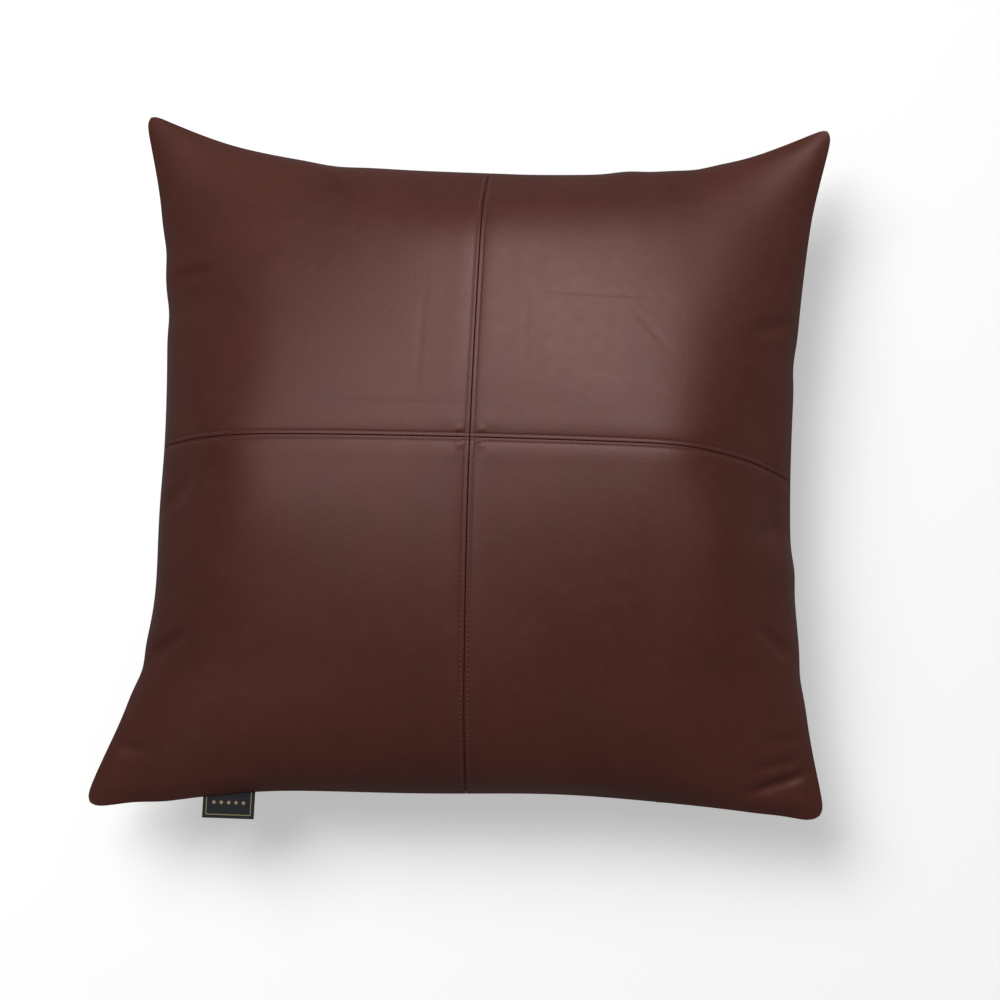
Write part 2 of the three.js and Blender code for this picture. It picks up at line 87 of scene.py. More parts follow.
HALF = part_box("back_panel")[1].x  # from the middle to a corner tip
SEAM_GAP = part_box("front_panel_top_left")[0].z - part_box("back_panel")[1].z
SEAM_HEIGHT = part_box("front_panel_top_left")[0].z - SEAM_GAP / 2
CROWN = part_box("front_panel_top_left")[1].z - SEAM_HEIGHT
TAPE_LOW, TAPE_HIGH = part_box("zip_tape_front")
LABEL_LOW, LABEL_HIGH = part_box("side_label")
SLIDER_LOW, SLIDER_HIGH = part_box("zip_slider")
PULL_LOW, PULL_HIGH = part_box("zip_pull")
TAPE_END = TAPE_HIGH.x + 0.0175  # where the tapes end, sewn in past the zip's ends
FLAT_HALF = 0.225  # half of the flat cover, between its seams

# How far the middle of each side draws in, and how sharply: the zip keeps the bottom side straight.
PULL_IN = {"right": 0.021, "top": 0.032, "left": 0.024, "bottom": 0.012}
PULL_POWER = {"right": 2, "top": 3, "left": 2, "bottom": 5}
# Where a side bulges out from that line, or in where the size is below 0: the side, the place along it from
# -1 to 1, the half width and the size.
SIDE_MOVES = [
    ("left", -0.5, 0.22, -0.0060),
    ("left", -0.65, 0.045, -0.0028),
    ("left", 0.42, 0.05, -0.0016),
    ("left", 0.60, 0.05, -0.0014),
    ("right", 0.33, 0.05, -0.0014),
    ("right", -0.30, 0.06, 0.0014),
    ("right", -0.62, 0.05, -0.0014),
    ("top", -0.45, 0.07, -0.0014),
    ("top", 0.42, 0.05, 0.0016),
    ("top", 0.62, 0.05, -0.0014),
    ("bottom", -0.80, 0.20, 0.0045),
    ("bottom", 0.25, 0.30, -0.0030),
    ("bottom", 0.92, 0.08, 0.0025),
]
MOUTH_GAP = 0.012  # between the leather of the front and of the back, along the zip
MOUTH_HALF = 0.1754  # how far from the middle the mouth is fully open
MOUTH_TAPER = 0.028  # length over which it then closes
MOUTH_DEPTH = 0.4  # share of the way in from the bottom side over which the mouth fades
CALM = {"left": 0.88, "right": 0.86, "top": 0.75, "bottom": 1.0}  # share of the puckers that is smoothed away
ROUNDNESS = 0.5  # share of the frame's own rounded height in the simulated one
LIP = 0.003  # how far the front's leather stands out over the zip
# How far each corner's tip is moved across and up.
CORNER_MOVES = {
    (-1, 1): (-0.004, 0.004),
    (1, 1): (0.005, 0.007),
    (-1, -1): (-0.0105, -0.0055),
    (1, -1): (0.0025, 0.0015),
}
TIP_CUT = 0.009  # how far from its tip a corner starts to be blunted
TIP_ROUND = 0.003  # how far the blunted tip still reaches past that
BACK_DEPTH = 0.074  # how far the back would hang below the edge seam if nothing pressed it flat

STITCH_END = 0.2228  # how far from a seam's middle the topstitching runs
ROW_START = 0.0042  # where the horizontal rows start, clear of the vertical ones
SEWING_THREAD = 0.0005
BACK_TAPE_LEAN = 0.003  # how much further in than the front's tape the back's leans, behind its leather

BEHIND_ZIP = -0.198  # as near to the zip as the inner cushion comes
COTTON = 0.0006
# Shares of the cover's size in plan, and of its height in front (1) and behind (-1).
INSERT_PLAN = 0.9545
INSERT_RISE = {1: 0.88, -1: 0.955}
FILLING_PLAN = 0.945
FILLING_RISE = {1: 0.865, -1: 0.935}


# --- Settings ---

def length(name, description, default):
    return bpy.props.FloatProperty(name=name, description=description, default=default, unit="LENGTH")


def colour(name, description, default):
    return bpy.props.FloatVectorProperty(
        name=name, description=description, default=default, size=3, subtype="COLOR", min=0, max=1
    )


class CushionCover(bpy.types.PropertyGroup):
    flat_side: length("Flat side", "Side of the square cover before it is filled", 0.45)
    leather: length("Leather", "Thickness of the leather", 0.0011)
    skived: length("Skived edge", "Thickness of the leather where it is thinned for a seam", 0.00045)
    allowance: length("Seam allowance", "Width of the leather turned in at the edge seam", 0.008)
    cells: bpy.props.IntProperty(name="Cells", description="Cells of the simulated cloth", default=64)
    frames: bpy.props.IntProperty(name="Frames", description="Steps of the simulation", default=44)
    pressure: bpy.props.FloatProperty(name="Pressure", description="Push of the filling", default=3.3)
    tone: colour("Leather colour", "Middle tone of the leather", (0.073, 0.0182, 0.0116))
    deep: colour("Deep colour", "Dark tone of the leather", (0.063, 0.0155, 0.0097))
    worn: colour("Worn colour", "Light tone of the leather", (0.084, 0.0222, 0.0148))
    roughness: bpy.props.FloatProperty(
        name="Roughness", description="How dull the leather is", default=0.44, subtype="FACTOR"
    )
    gloss: bpy.props.FloatProperty(
        name="Gloss", description="How strongly the leather reflects", default=0.48, subtype="FACTOR"
    )


class CushionSeams(bpy.types.PropertyGroup):
    fold: length("Fold depth", "Depth of the leather turned down at a centre seam", 0.0026)
    fold_radius: length("Fold radius", "Roundness of the turned edge", 0.0004)
    channel: length("Channel depth", "Dip of the front along its seams", 0.0004)
    channel_reach: length("Channel reach", "How far from a seam the dip fades", 0.0055)
    offset: length("Stitch offset", "From a seam to its row of stitches", 0.0024)
    pitch: length("Stitch pitch", "From one stitch to the next", 0.003)
    thread: length("Thread", "Thickness of the topstitching thread", 0.00062)
    tone: colour("Thread colour", "Colour of the topstitching thread", (0.110, 0.020, 0.016))


class CushionLabel(bpy.types.PropertyGroup):
    cloth: length("Cloth", "Thickness of the woven label", 0.00028)
    ground: colour("Ground", "Colour of the label's ground", (0.008, 0.0095, 0.0125))
    gold: colour("Gold", "Colour of the label's gold yarn", (0.42, 0.33, 0.17))


class CushionZip(bpy.types.PropertyGroup):
    pitch: length("Tooth pitch", "From one turn of the coil to the next", 0.0015)
    wire: length("Coil wire", "Thickness of the nylon that the coil is wound from", 0.00062)
    tape: colour("Tape colour", "Colour of the zip tape", (0.022, 0.0085, 0.007))
    coil: colour("Coil colour", "Colour of the nylon coil", (0.020, 0.0085, 0.007))
    metal: colour("Metal colour", "Colour of the antique brass", (0.30, 0.20, 0.11))


class CushionStage(bpy.types.PropertyGroup):
    key: bpy.props.FloatProperty(name="Key light", description="Power of the left softbox", default=7.5)
    side: bpy.props.FloatProperty(name="Side light", description="Power of the right softbox", default=16)
    floor: bpy.props.FloatProperty(name="Floor light", description="Power of the floor's softbox", default=73)
    fill: bpy.props.FloatProperty(name="Fill light", description="Brightness of the room", default=0.18)
    lens: bpy.props.FloatProperty(name="Lens", description="Focal length in mm", default=68.9)


def settings(name):
    return getattr(bpy.context.scene, name)


# --- The swollen cover ---

def smoothstep(x, low, high):
    t = np.clip((np.asarray(x, float) - low) / (high - low), 0, 1)
    return t * t * (3 - 2 * t)


def bell(x, width):
    return np.exp(-((np.asarray(x, float) / width) ** 2))


def reach(side, along, inset=0.0):
    """How far a side lies from the middle, at places along it from -1 to 1."""
    return HALF - inset - PULL_IN[side] * (1 - np.abs(along) ** PULL_POWER[side])


def mouth(x, v):
    """1 where the zip's mouth is fully open, and 0 away from it."""
    beyond = smoothstep(np.abs(x), MOUTH_HALF, MOUTH_HALF + MOUTH_TAPER)
    return (1 - beyond) * smoothstep(-v, 1 - MOUTH_DEPTH, 1)


def crown(u, v):
    """The fullness at shares u and v of the way to the sides: 1 in the middle and 0 at the edge."""
    return np.sqrt(np.clip((1 - u * u) * (1 - v * v), 0, None))


def mesh_object(name, verts, faces):
    mesh = bpy.data.meshes.new(name)
    mesh.from_pydata([tuple(v) for v in verts], [], faces)
    mesh.update()
    made = bpy.data.objects.new(name, mesh)
    bpy.context.scene.collection.objects.link(made)
    return made


def simulated_layers(cover):
    """Two square sheets, sewn together at their edge and swollen. Gives the front's and the back's grid."""
    n = cover.cells
    share = np.linspace(-1, 1, n + 1)
    u, v = np.meshgrid(share, share)
    unevenness, start_rise = 0.0004, 0.02
    ripple = np.random.default_rng(7).normal(0, unevenness, (2, n + 1, n + 1))
    rim = (np.abs(u) == 1) | (np.abs(v) == 1)
    index = np.arange(2 * (n + 1) ** 2).reshape(2, n + 1, n + 1)
    index[1][rim] = index[0][rim]
    rise = np.stack([start_rise * crown(u, v), -start_rise * crown(u, v)]) + ripple * ~rim
    flat = cover.flat_side / 2
    points = np.stack([np.stack([u * flat, v * flat, z], -1) for z in rise]).reshape(-1, 3)
    faces = []
    for layer, turn in ((0, 1), (1, -1)):
        k = index[layer]
        quads = np.stack([k[:-1, :-1], k[:-1, 1:], k[1:, 1:], k[1:, :-1]], -1).reshape(-1, 4)
        faces += quads[:, ::turn].tolist()
    cloth = mesh_object("cloth", points, faces)
    swell(cloth, cover)
    found = np.empty(len(points) * 3)
    cloth.data.vertices.foreach_get("co", found)
    bpy.data.objects.remove(cloth)
    return found.reshape(-1, 3)[index]


def swell(cloth, cover):
    """Runs the cloth simulation on the sewn sheets and applies it."""
    modifier = cloth.modifiers.new("swell", "CLOTH")
    cloth_settings = modifier.settings
    cloth_settings.quality = 6
    cloth_settings.mass = 0.2
    cloth_settings.tension_stiffness = 60
    cloth_settings.compression_stiffness = 60
    cloth_settings.shear_stiffness = 30
    cloth_settings.bending_stiffness = 6
    cloth_settings.tension_damping = 10
    cloth_settings.compression_damping = 10
    cloth_settings.shear_damping = 10
    cloth_settings.air_damping = 2
    cloth_settings.use_pressure = True
    cloth_settings.uniform_pressure_force = cover.pressure
    cloth_settings.effector_weights.gravity = 0
    modifier.collision_settings.use_collision = False
    modifier.point_cache.frame_end = cover.frames
    scene = bpy.context.scene
    scene.frame_end = cover.frames
    for step in range(1, cover.frames + 1):
        scene.frame_set(step)
    activate(cloth)
    bpy.ops.object.modifier_apply(modifier=modifier.name)


def fitted(layers):
    """The swollen sheets with their sides and heights on the frame's, and their puckers kept."""
    share = np.linspace(-1, 1, layers.shape[1])
    u, v = np.meshgrid(share, share)
    x, y, z = np.moveaxis(np.stack([calmed(layer, u, v) for layer in layers]), -1, 0)
    right, left = outline("right", x[0][:, -1]), outline("left", -x[0][:, 0])
    top, bottom = outline("top", y[0][-1]), outline("bottom", -y[0][0])
    across = (u + 1) / 2
    up = (v + 1) / 2
    x = x * (left[:, None] * (1 - across) + right[:, None] * across)
    y = y * (bottom[None] * (1 - up) + top[None] * up)
    z = z.copy()
    move_corners(x, y, u, v)
    near_zip = smoothstep(-v, 0.7, 1)
    z -= z[0][0][None] * near_zip
    z *= np.where(z > 0, CROWN / z[0].max(), BACK_DEPTH / -z[1].min())
    front = SEAM_HEIGHT + z[0] * (1 - ROUNDNESS) + CROWN * crown(u, v) * ROUNDNESS
    back = pressed(SEAM_HEIGHT + z[1] * (1 - ROUNDNESS) - BACK_DEPTH * crown(u, v) * ROUNDNESS)
    open_share = mouth(x[0], v)
    lift = open_share * MOUTH_GAP / 2 + (1 - open_share) * SEAM_GAP / 2
    y[0] -= LIP * open_share
    clear_of_floor = smoothstep(back, 0, 0.02)
    back_lift = lift * clear_of_floor
    return np.stack([x[0], y[0], front + lift], -1), np.stack([x[1], y[1], back - back_lift], -1)


def move_corners(x, y, u, v):
    """Moves each corner by its own small offset, and blunts its tip."""
    start = 0.72  # share of the way to both sides at which a corner's move starts
    for (side_x, side_y), (move_x, move_y) in CORNER_MOVES.items():
        near = smoothstep(side_x * u, start, 1) * smoothstep(side_y * v, start, 1)
        x += move_x * near
        y += move_y * near
        row, column = (-1 if side > 0 else 0 for side in (side_y, side_x))
        out = (side_x * x + side_y * y) / math.sqrt(2)
        tip = out[:, row, column][:, None, None]
        excess = np.clip(out - tip + TIP_CUT, 0, None) * (side_x * u > 0.5) * (side_y * v > 0.5)
        back = (excess - TIP_ROUND * (1 - np.exp(-excess / TIP_ROUND))) / math.sqrt(2)
        x -= side_x * back
        y -= side_y * back


def pressed(height):
    """Heights with what would lie below the floor pressed flat on it, and rounded off where it starts."""
    softness = 0.007
    rounded = (np.clip(height, -softness, softness) + softness) ** 2 / (4 * softness)
    return np.where(height > softness, height, rounded)


def outline(side, found):
    """How much a side has to be scaled along its length for its smoothed line to be the frame's."""
    n = len(found) - 1
    along = np.linspace(-1, 1, n + 1)
    width = 6
    before = 2 * found[0] - found[width * 2:0:-1]
    after = 2 * found[-1] - found[-2:-2 - width * 2:-1]
    padded = np.concatenate([before, found, after])
    weights = bell(np.arange(-2 * width, 2 * width + 1), width)
    smooth = np.convolve(padded, weights / weights.sum(), "valid")
    pucker = (found - smooth) * (1 - along**6) * (1 - CALM[side])
    moved = sum(size * bell(along - at, wide) for where, at, wide, size in SIDE_MOVES if where == side)
    return (reach(side, along) + pucker + moved) / found


def smoothed(points, axis, rounds):
    """Points averaged with their neighbours along an axis, again and again. The ends stay."""
    for _ in range(rounds):
        low, middle, high = (points.take(range(k, points.shape[axis] - 2 + k), axis) for k in range(3))
        first, last = points.take([0], axis), points.take([-1], axis)
        points = np.concatenate([first, (low + 2 * middle + high) / 4, last], axis)
    return points


def calmed(points, u, v):
    """A layer's points with the puckers near each side smoothed along it, as far as CALM says."""
    rounds, side_rounds = 4, 60
    points = smoothed(smoothed(points, 0, rounds), 1, rounds)
    for side, share, axis in (("left", -u, 0), ("right", u, 0), ("top", v, 1), ("bottom", -v, 1)):
        weight = (CALM[side] * smoothstep(share, 0.4, 0.8))[..., None]
        points = points * (1 - weight) + smoothed(points, axis, side_rounds) * weight
    return points


class Layer:
    """One side of the cover as a smooth surface, over shares from -1 to 1 of the flat square."""

    def __init__(self, grid):
        first, last = 2 * grid[:1] - grid[1:2], 2 * grid[-1:] - grid[-2:-1]
        tall = np.concatenate([first, grid, last], 0)
        first, last = 2 * tall[:, :1] - tall[:, 1:2], 2 * tall[:, -1:] - tall[:, -2:-1]
        self.points = np.concatenate([first, tall, last], 1)
        self.cells = len(grid) - 1

    def weights(self, share):
        """Cubic weights of the grid's lines at each share."""
        place = (np.clip(share, -1, 1) + 1) / 2 * self.cells
        first = np.minimum(place.astype(int), self.cells - 1)
        f = place - first
        spline = [(1 - f) ** 3, 3 * f**3 - 6 * f**2 + 4, -3 * f**3 + 3 * f**2 + 3 * f + 1, f**3]
        table = np.zeros((len(share), self.cells + 3))
        for k, weight in enumerate(spline):
            table[np.arange(len(share)), first + k] = weight / 6
        return table

    def grid(self, u, v):
        """Points over every pair of the shares u and v, with v along the first axis."""
        return np.einsum("ja,abk,ib->jik", self.weights(v), self.points, self.weights(u), optimize=True)

    def at(self, u, v):
        """Points at the places u, v taken one by one."""
        return np.einsum("ma,abk,mb->mk", self.weights(v), self.points, self.weights(u), optimize=True)


@functools.lru_cache(maxsize=None)
def cover_layers():
    front, back = fitted(simulated_layers(settings("cushion_cover")))
    return Layer(front), Layer(back)


def normals(evaluate, u, v):
    """Unit normals, with Z up, of a surface that evaluate gives at flat places u and v."""
    nudge = 0.002
    along_u = evaluate(u + nudge, v) - evaluate(u - nudge, v)
    along_v = evaluate(u, v + nudge) - evaluate(u, v - nudge)
    found = np.cross(along_u, along_v)
    found /= np.linalg.norm(found, axis=-1, keepdims=True) + 1e-12
    return found


# --- Relief of the leather, in flat metres from the crossing of the seams ---

SEAM_SIDE = 0.0001  # half of the gap between two quarters at the bottom of a seam
WALL = 0.00001  # width over which the wall of a fold drops
ROW_DIP, ROW_WIDTH = 0.00024, 0.0005  # depth and half width of the dip along a row of stitches
# The swell beside a seam, and the bumps at the crossing: height, how far from a seam, and half width.
SWELL, SWELL_PLACE, SWELL_WIDTH = 0.0003, 0.010, 0.006
BUMP, BUMP_PLACE, BUMP_WIDTH = 0.0005, (0.0062, 0.0050), (0.0022, 0.0020)

# Creases in the front: start, end, half width and depth. Negative depths are raised.
CREASES = [
    ((-0.122, 0.218), (-0.086, 0.178), 0.0042, 0.0026),
    ((-0.128, 0.220), (-0.104, 0.198), 0.0050, -0.0010),
    ((-0.217, 0.112), (-0.176, 0.120), 0.0050, 0.0022),
    ((-0.218, -0.045), (-0.178, -0.026), 0.0060, 0.0020),
    ((-0.218, -0.140), (-0.182, -0.124), 0.0050, 0.0026),
    ((0.217, 0.098), (0.178, 0.086), 0.0050, 0.0022),
    ((0.217, -0.034), (0.178, -0.052), 0.0060, 0.0020),
    ((0.217, -0.128), (0.180, -0.110), 0.0050, 0.0024),
    ((0.097, 0.219), (0.092, 0.182), 0.0046, 0.0020),
    ((0.132, 0.219), (0.122, 0.184), 0.0046, 0.0022),
    ((0.219, -0.196), (0.175, -0.214), 0.0030, 0.0024),
    ((0.216, -0.188), (0.178, -0.199), 0.0030, 0.0014),
    ((0.217, -0.176), (0.190, -0.180), 0.0034, 0.0012),
    ((0.216, -0.213), (0.188, -0.219), 0.0050, -0.0012),
    ((-0.219, -0.190), (-0.190, -0.196), 0.0036, 0.0012),
    ((0.034, 0.101), (0.118, 0.101), 0.0011, 0.00030),
    ((0.031, 0.030), (0.031, 0.110), 0.0011, 0.00026),
    ((0.095, 0.092), (0.118, 0.062), 0.0012, 0.00030),
    ((0.080, 0.062), (0.105, 0.038), 0.0012, 0.00026),
    ((-0.033, 0.018), (-0.033, 0.105), 0.0011, 0.00024),
    ((-0.100, 0.021), (-0.006, 0.021), 0.0011, 0.00024),
]


def creased(x, y):
    """How far the creases raise the front at flat places x, y."""
    total = np.zeros(np.broadcast(x, y).shape)
    for start, end, width, depth in CREASES:
        (ax, ay), (bx, by) = start, end
        span = math.hypot(bx - ax, by - ay)
        along = ((x - ax) * (bx - ax) + (y - ay) * (by - ay)) / span**2
        aside = ((x - ax) * (by - ay) - (y - ay) * (bx - ax)) / span
        rising = smoothstep(along, -0.15, 0.35)
        falling = smoothstep(along, 0.65, 1.15)
        total -= depth * bell(aside, width) * rising * (1 - falling)
    return total * rim_fade(x, y, 0.004)


def rim_fade(x, y, width=0.011):
    """1 over the front and 0 at its sides."""
    return smoothstep(FLAT_HALF - np.maximum(np.abs(x), np.abs(y)), 0, width)


def crossing(other):
    """The share of a seam's depth that is left at a distance from the other seam, which runs over it."""
    return 1 - 0.75 * bell(other, 0.003)


def seam_relief(s, other, seams, crossed):
    """Height of the leather at a distance s from a seam. The other seam runs over it where crossed is set."""
    over = crossing(other) if crossed else 1
    beside = np.clip(s - SEAM_SIDE, 0, None)
    rounding = np.clip(seams.fold_radius - beside, 0, None)
    fold = seams.fold_radius - np.sqrt(seams.fold_radius**2 - rounding**2)
    wall = (seams.fold - seams.fold_radius) * bell(beside, WALL)
    row = ROW_DIP * bell(s - seams.offset, ROW_WIDTH)
    channel = seams.channel * bell(s, seams.channel_reach)
    swelling = SWELL * bell(s - SWELL_PLACE, SWELL_WIDTH)
    return -(fold + wall) * over - row - channel + swelling


def front_relief(x, y, seams):
    """How far the front's leather stands above the smooth cover, at flat places x, y."""
    s, t = np.abs(x), np.abs(y)
    vertical = seam_relief(s, t, seams, False)
    horizontal = seam_relief(t, s, seams, True)
    relief = np.minimum(vertical, horizontal) + 0.5 * np.maximum(vertical, horizontal)
    near_x, near_y = (bell(far - at, wide) for far, at, wide in zip((s, t), BUMP_PLACE, BUMP_WIDTH))
    return relief * rim_fade(x, y) + BUMP * near_x * near_y + creased(x, y)


def front_point(x, y, lift=0.0):
    """Points of the front's outer face at flat places x, y taken one by one, lifted along its normal."""
    layer = cover_layers()[0]
    u, v = x / FLAT_HALF, y / FLAT_HALF
    up = normals(layer.at, u, v)
    height = front_relief(x, y, settings("cushion_seams")) + lift
    return layer.at(u, v) + up * height[:, None], up


# --- Shared tools ---

def activate(piece):
    bpy.ops.object.select_all(action="DESELECT")
    piece.select_set(True)
    bpy.context.view_layer.objects.active = piece


def grid_faces(rows, columns, start=0):
    k = start + np.arange(rows * columns).reshape(rows, columns)
    return np.stack([k[:-1, :-1], k[:-1, 1:], k[1:, 1:], k[1:, :-1]], -1).reshape(-1, 4)


def closed_sheet(name, outer, inner, flat, upwards):
    """A thin closed piece between two grids of points. flat is the attribute that its material reads."""
    rows, columns = outer.shape[:2]
    count = rows * columns
    k = np.arange(count).reshape(rows, columns)
    rim = np.concatenate([k[0, :-1], k[:-1, -1], k[-1, :0:-1], k[:0:-1, 0]])
    following = np.roll(rim, -1)
    walls = np.stack([rim, rim + count, following + count, following], -1)
    outer_faces = grid_faces(rows, columns)
    inner_faces = grid_faces(rows, columns, count)[:, ::-1]
    faces = np.concatenate([outer_faces, inner_faces, walls])
    if not upwards:
        faces = faces[:, ::-1]
    made = mesh_object(name, np.concatenate([outer.reshape(-1, 3), inner.reshape(-1, 3)]), faces.tolist())
    values = np.concatenate([flat.reshape(-1, 3)] * 2).astype(np.float32)
    made.data.attributes.new("flat", "FLOAT_VECTOR", "POINT").data.foreach_set("vector", values.ravel())
    clean(made)
    return made


def clean(piece):
    """Merges doubled points and smooths the shading."""
    mesh = bmesh.new()
    mesh.from_mesh(piece.data)
    bmesh.ops.remove_doubles(mesh, verts=mesh.verts, dist=1e-6)
    bmesh.ops.dissolve_degenerate(mesh, edges=mesh.edges, dist=1e-7)
    for face in mesh.faces:
        face.smooth = True
    mesh.to_mesh(piece.data)
    mesh.free()
    piece.data.update()


def finish_piece(piece, body, material, slot, *nodes):
    piece.data.materials.clear()
    piece.data.materials.append(material)
    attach(piece, body)
    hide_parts(*nodes)
    return piece


# --- Leather panels ---

# Stations: distances from the wall of a seam's fold, and from a side.
NEAR_SEAM = [0, 2e-5, 1.2e-4, 3e-4, 6e-4, 1e-3, 1.5e-3, 2e-3, 2.4e-3, 2.8e-3, 3.4e-3, 4.2e-3, 5.2e-3, 6.4e-3,
             7.8e-3, 9.4e-3]
NEAR_EDGE = [6e-3, 4.2e-3, 2.8e-3, 1.7e-3, 0.9e-3, 0.35e-3, 0]
STEP = 0.0019
TURNS = [0.05, 0.17, 1.0]  # shares of the allowance at which its turn is divided
SIDE_TOLERANCE = 1e-9
BEHIND_LIP = 0.0024  # width of the leather turned in along the zip's mouth
# Past the zip, the turned-in leather of the front and of the back come together and close the mouth.
CLOSING_START, CLOSING_END, CLOSING_WIDTH = 0.1765, 0.1800, 0.006


def quarter_stations():
    """Distances from a seam to the side, close together near both."""
    near = SEAM_SIDE + np.array(NEAR_SEAM)
    middle = np.arange(near[-1] + STEP, FLAT_HALF - NEAR_EDGE[0] - STEP / 2, STEP)
    return np.concatenate([near, middle, FLAT_HALF - np.array(NEAR_EDGE)])


def extended(stations):
    """Stations with the turned-in allowance added beyond the side, and each one's share of the turn."""
    places = np.concatenate([stations, [FLAT_HALF] * len(TURNS)])
    return places, np.array([0.0] * len(stations) + TURNS)


def leather_points(layer, x, y, turn, up, relief, inner_shift):
    """The outer and inner points of a panel over the flat places x and y."""
    cover = settings("cushion_cover")
    flat_x, flat_y = np.meshgrid(x, y)
    u, v = x / FLAT_HALF, y / FLAT_HALF
    smooth = layer.grid(u, v)
    nudge = 0.004
    along_u = layer.grid(u + nudge, v) - layer.grid(u - nudge, v)
    along_v = layer.grid(u, v + nudge) - layer.grid(u, v - nudge)
    normal = np.cross(along_u, along_v)
    normal *= up / (np.linalg.norm(normal, axis=-1, keepdims=True) + 1e-12)
    outer_height, inner_height = relief(flat_x, flat_y)
    outer = smooth + normal * outer_height[..., None]
    shifted = layer.grid(inner_shift(x) / FLAT_HALF, inner_shift(y) / FLAT_HALF)
    rise = np.abs(shifted[..., 2] - SEAM_HEIGHT)
    thickness = np.clip(rise / 2, cover.skived, cover.leather)
    inner = shifted - normal * (thickness - inner_height)[..., None]
    turn_in(outer, inner, turn, up, cover, flat_y / FLAT_HALF)
    return outer, inner, np.stack([flat_x, flat_y, np.minimum(np.abs(flat_x), np.abs(flat_y))], -1)


def turn_in(outer, inner, turn, up, cover, v):
    """Turns the leather in beyond the sides: flat against the seam, or under the lip of the zip's mouth."""
    at_side = turn >= 0
    open_share = mouth(outer[..., 0], v)[at_side]
    behind_lip = BEHIND_LIP + (LIP if up > 0 else 0)
    width = (cover.allowance * (1 - open_share) + behind_lip * open_share) * turn[at_side]
    drop = (SEAM_GAP / 2 - SEAM_SIDE) * (1 - open_share) * np.minimum(1, turn[at_side] / TURNS[1])
    edge = outer[at_side]
    past_zip = smoothstep(np.abs(edge[:, 0]), CLOSING_START, CLOSING_END) * open_share
    width += past_zip * (CLOSING_WIDTH - width) * turn[at_side]
    drop += past_zip * (np.abs(edge[:, 2] - SEAM_HEIGHT) - SEAM_SIDE - drop) * turn[at_side]
    moved = edge * (1 - width / HALF)[:, None]
    moved[:, 2] = edge[:, 2] - up * drop
    outer[at_side] = moved
    inside = width + cover.skived * (1 - turn[at_side])
    under = edge * (1 - inside / HALF)[:, None]
    under[:, 2] = moved[:, 2] + up * cover.skived * np.minimum(1, 0.8 + turn[at_side])
    inner[at_side] = under


def turns(turn_x, turn_y, edge_x, edge_y):
    """For each point, its share of the turn, or -1 where the leather isn't at a side."""
    across, up = np.meshgrid(turn_x, turn_y)
    at_x, at_y = np.meshgrid(edge_x, edge_y)
    return np.where(at_x | at_y, np.maximum(across, up), -1.0)


def front_quarter(name, sign_x, sign_y):
    seams = settings("cushion_seams")
    cover = settings("cushion_cover")
    stations, turned = extended(quarter_stations())
    order_x, order_y = (slice(None, None, 1 if s > 0 else -1) for s in (sign_x, sign_y))
    x, y = sign_x * stations[order_x], sign_y * stations[order_y]
    at_edge = stations >= FLAT_HALF - SIDE_TOLERANCE
    turn = turns(turned[order_x], turned[order_y], at_edge[order_x], at_edge[order_y])

    def relief(flat_x, flat_y):
        s, t = np.abs(flat_x), np.abs(flat_y)
        wall = bell(s - SEAM_SIDE, WALL) + bell(t - SEAM_SIDE, WALL) * crossing(s)
        under = (seams.fold - cover.leather) * np.clip(wall, 0, 1)
        under += seams.channel * np.maximum(bell(s, seams.channel_reach), bell(t, seams.channel_reach))
        return front_relief(flat_x, flat_y, seams), creased(flat_x, flat_y) - under * rim_fade(flat_x, flat_y)

    def shift(places):
        reach_in = 0.05
        beside = np.abs(places) - SEAM_SIDE
        fading = np.clip(1 - beside / reach_in, 0, 1)
        return np.sign(places) * (SEAM_SIDE + np.sqrt(beside**2 + (cover.leather * fading) ** 2))

    points = leather_points(cover_layers()[0], x, y, turn, 1, relief, shift)
    return closed_sheet(name, *points, True)


def back_leather(name):
    lines = 171
    middle = np.linspace(-FLAT_HALF + NEAR_EDGE[0], FLAT_HALF - NEAR_EDGE[0], lines)
    half, turned = extended(FLAT_HALF - np.array(NEAR_EDGE[1:]))
    places = np.concatenate([-half[::-1], middle, half])
    share = np.concatenate([turned[::-1], middle * 0, turned])
    at_edge = np.abs(places) >= FLAT_HALF - SIDE_TOLERANCE
    turn = turns(share, share, at_edge, at_edge)

    def relief(flat_x, flat_y):
        return flat_x * 0, flat_x * 0

    points = leather_points(cover_layers()[1], places, places, turn, -1, relief, np.array)
    return closed_sheet(name, *points, False)


# --- Stitches ---

def select(piece, chosen, kind="verts"):
    """Leaves edit mode, selects the vertices or edges that chosen accepts, and goes back in."""
    if bpy.context.mode != "OBJECT":
        bpy.ops.object.mode_set(mode="OBJECT")
    activate(piece)
    bpy.ops.object.mode_set(mode="EDIT")
    bpy.ops.mesh.select_mode(type="VERT" if kind == "verts" else "EDGE")
    mesh = bmesh.from_edit_mesh(piece.data)
    for part in [*mesh.verts, *mesh.edges, *mesh.faces]:
        part.select = False
    for part in getattr(mesh, kind):
        if chosen(part):
            part.select_set(True)
    bmesh.update_edit_mesh(piece.data)


def leave_edit():
    bpy.ops.object.mode_set(mode="OBJECT")


def stitch_shape(length, thickness):
    """One stitch lying along Z: a ball whose two halves are pulled apart and whose ends dip below Y."""
    bpy.ops.object.select_all(action="DESELECT")
    bpy.ops.mesh.primitive_uv_sphere_add(segments=8, ring_count=6, radius=thickness / 2)
    ball = bpy.context.object
    apart = length / 2 - thickness / 2
    tiny = thickness / 100
    droop = 0.55 * thickness
    for sign in (1, -1):
        select(ball, lambda vertex: sign * vertex.co.z > tiny)
        bpy.ops.transform.translate(value=(0, 0, sign * apart))
    leave_edit()
    points = np.array([v.co for v in ball.data.vertices])
    points[:, 1] -= droop * (points[:, 2] / (length / 2)) ** 2
    faces = [list(p.vertices) for p in ball.data.polygons]
    bpy.data.objects.remove(ball)
    return points, faces


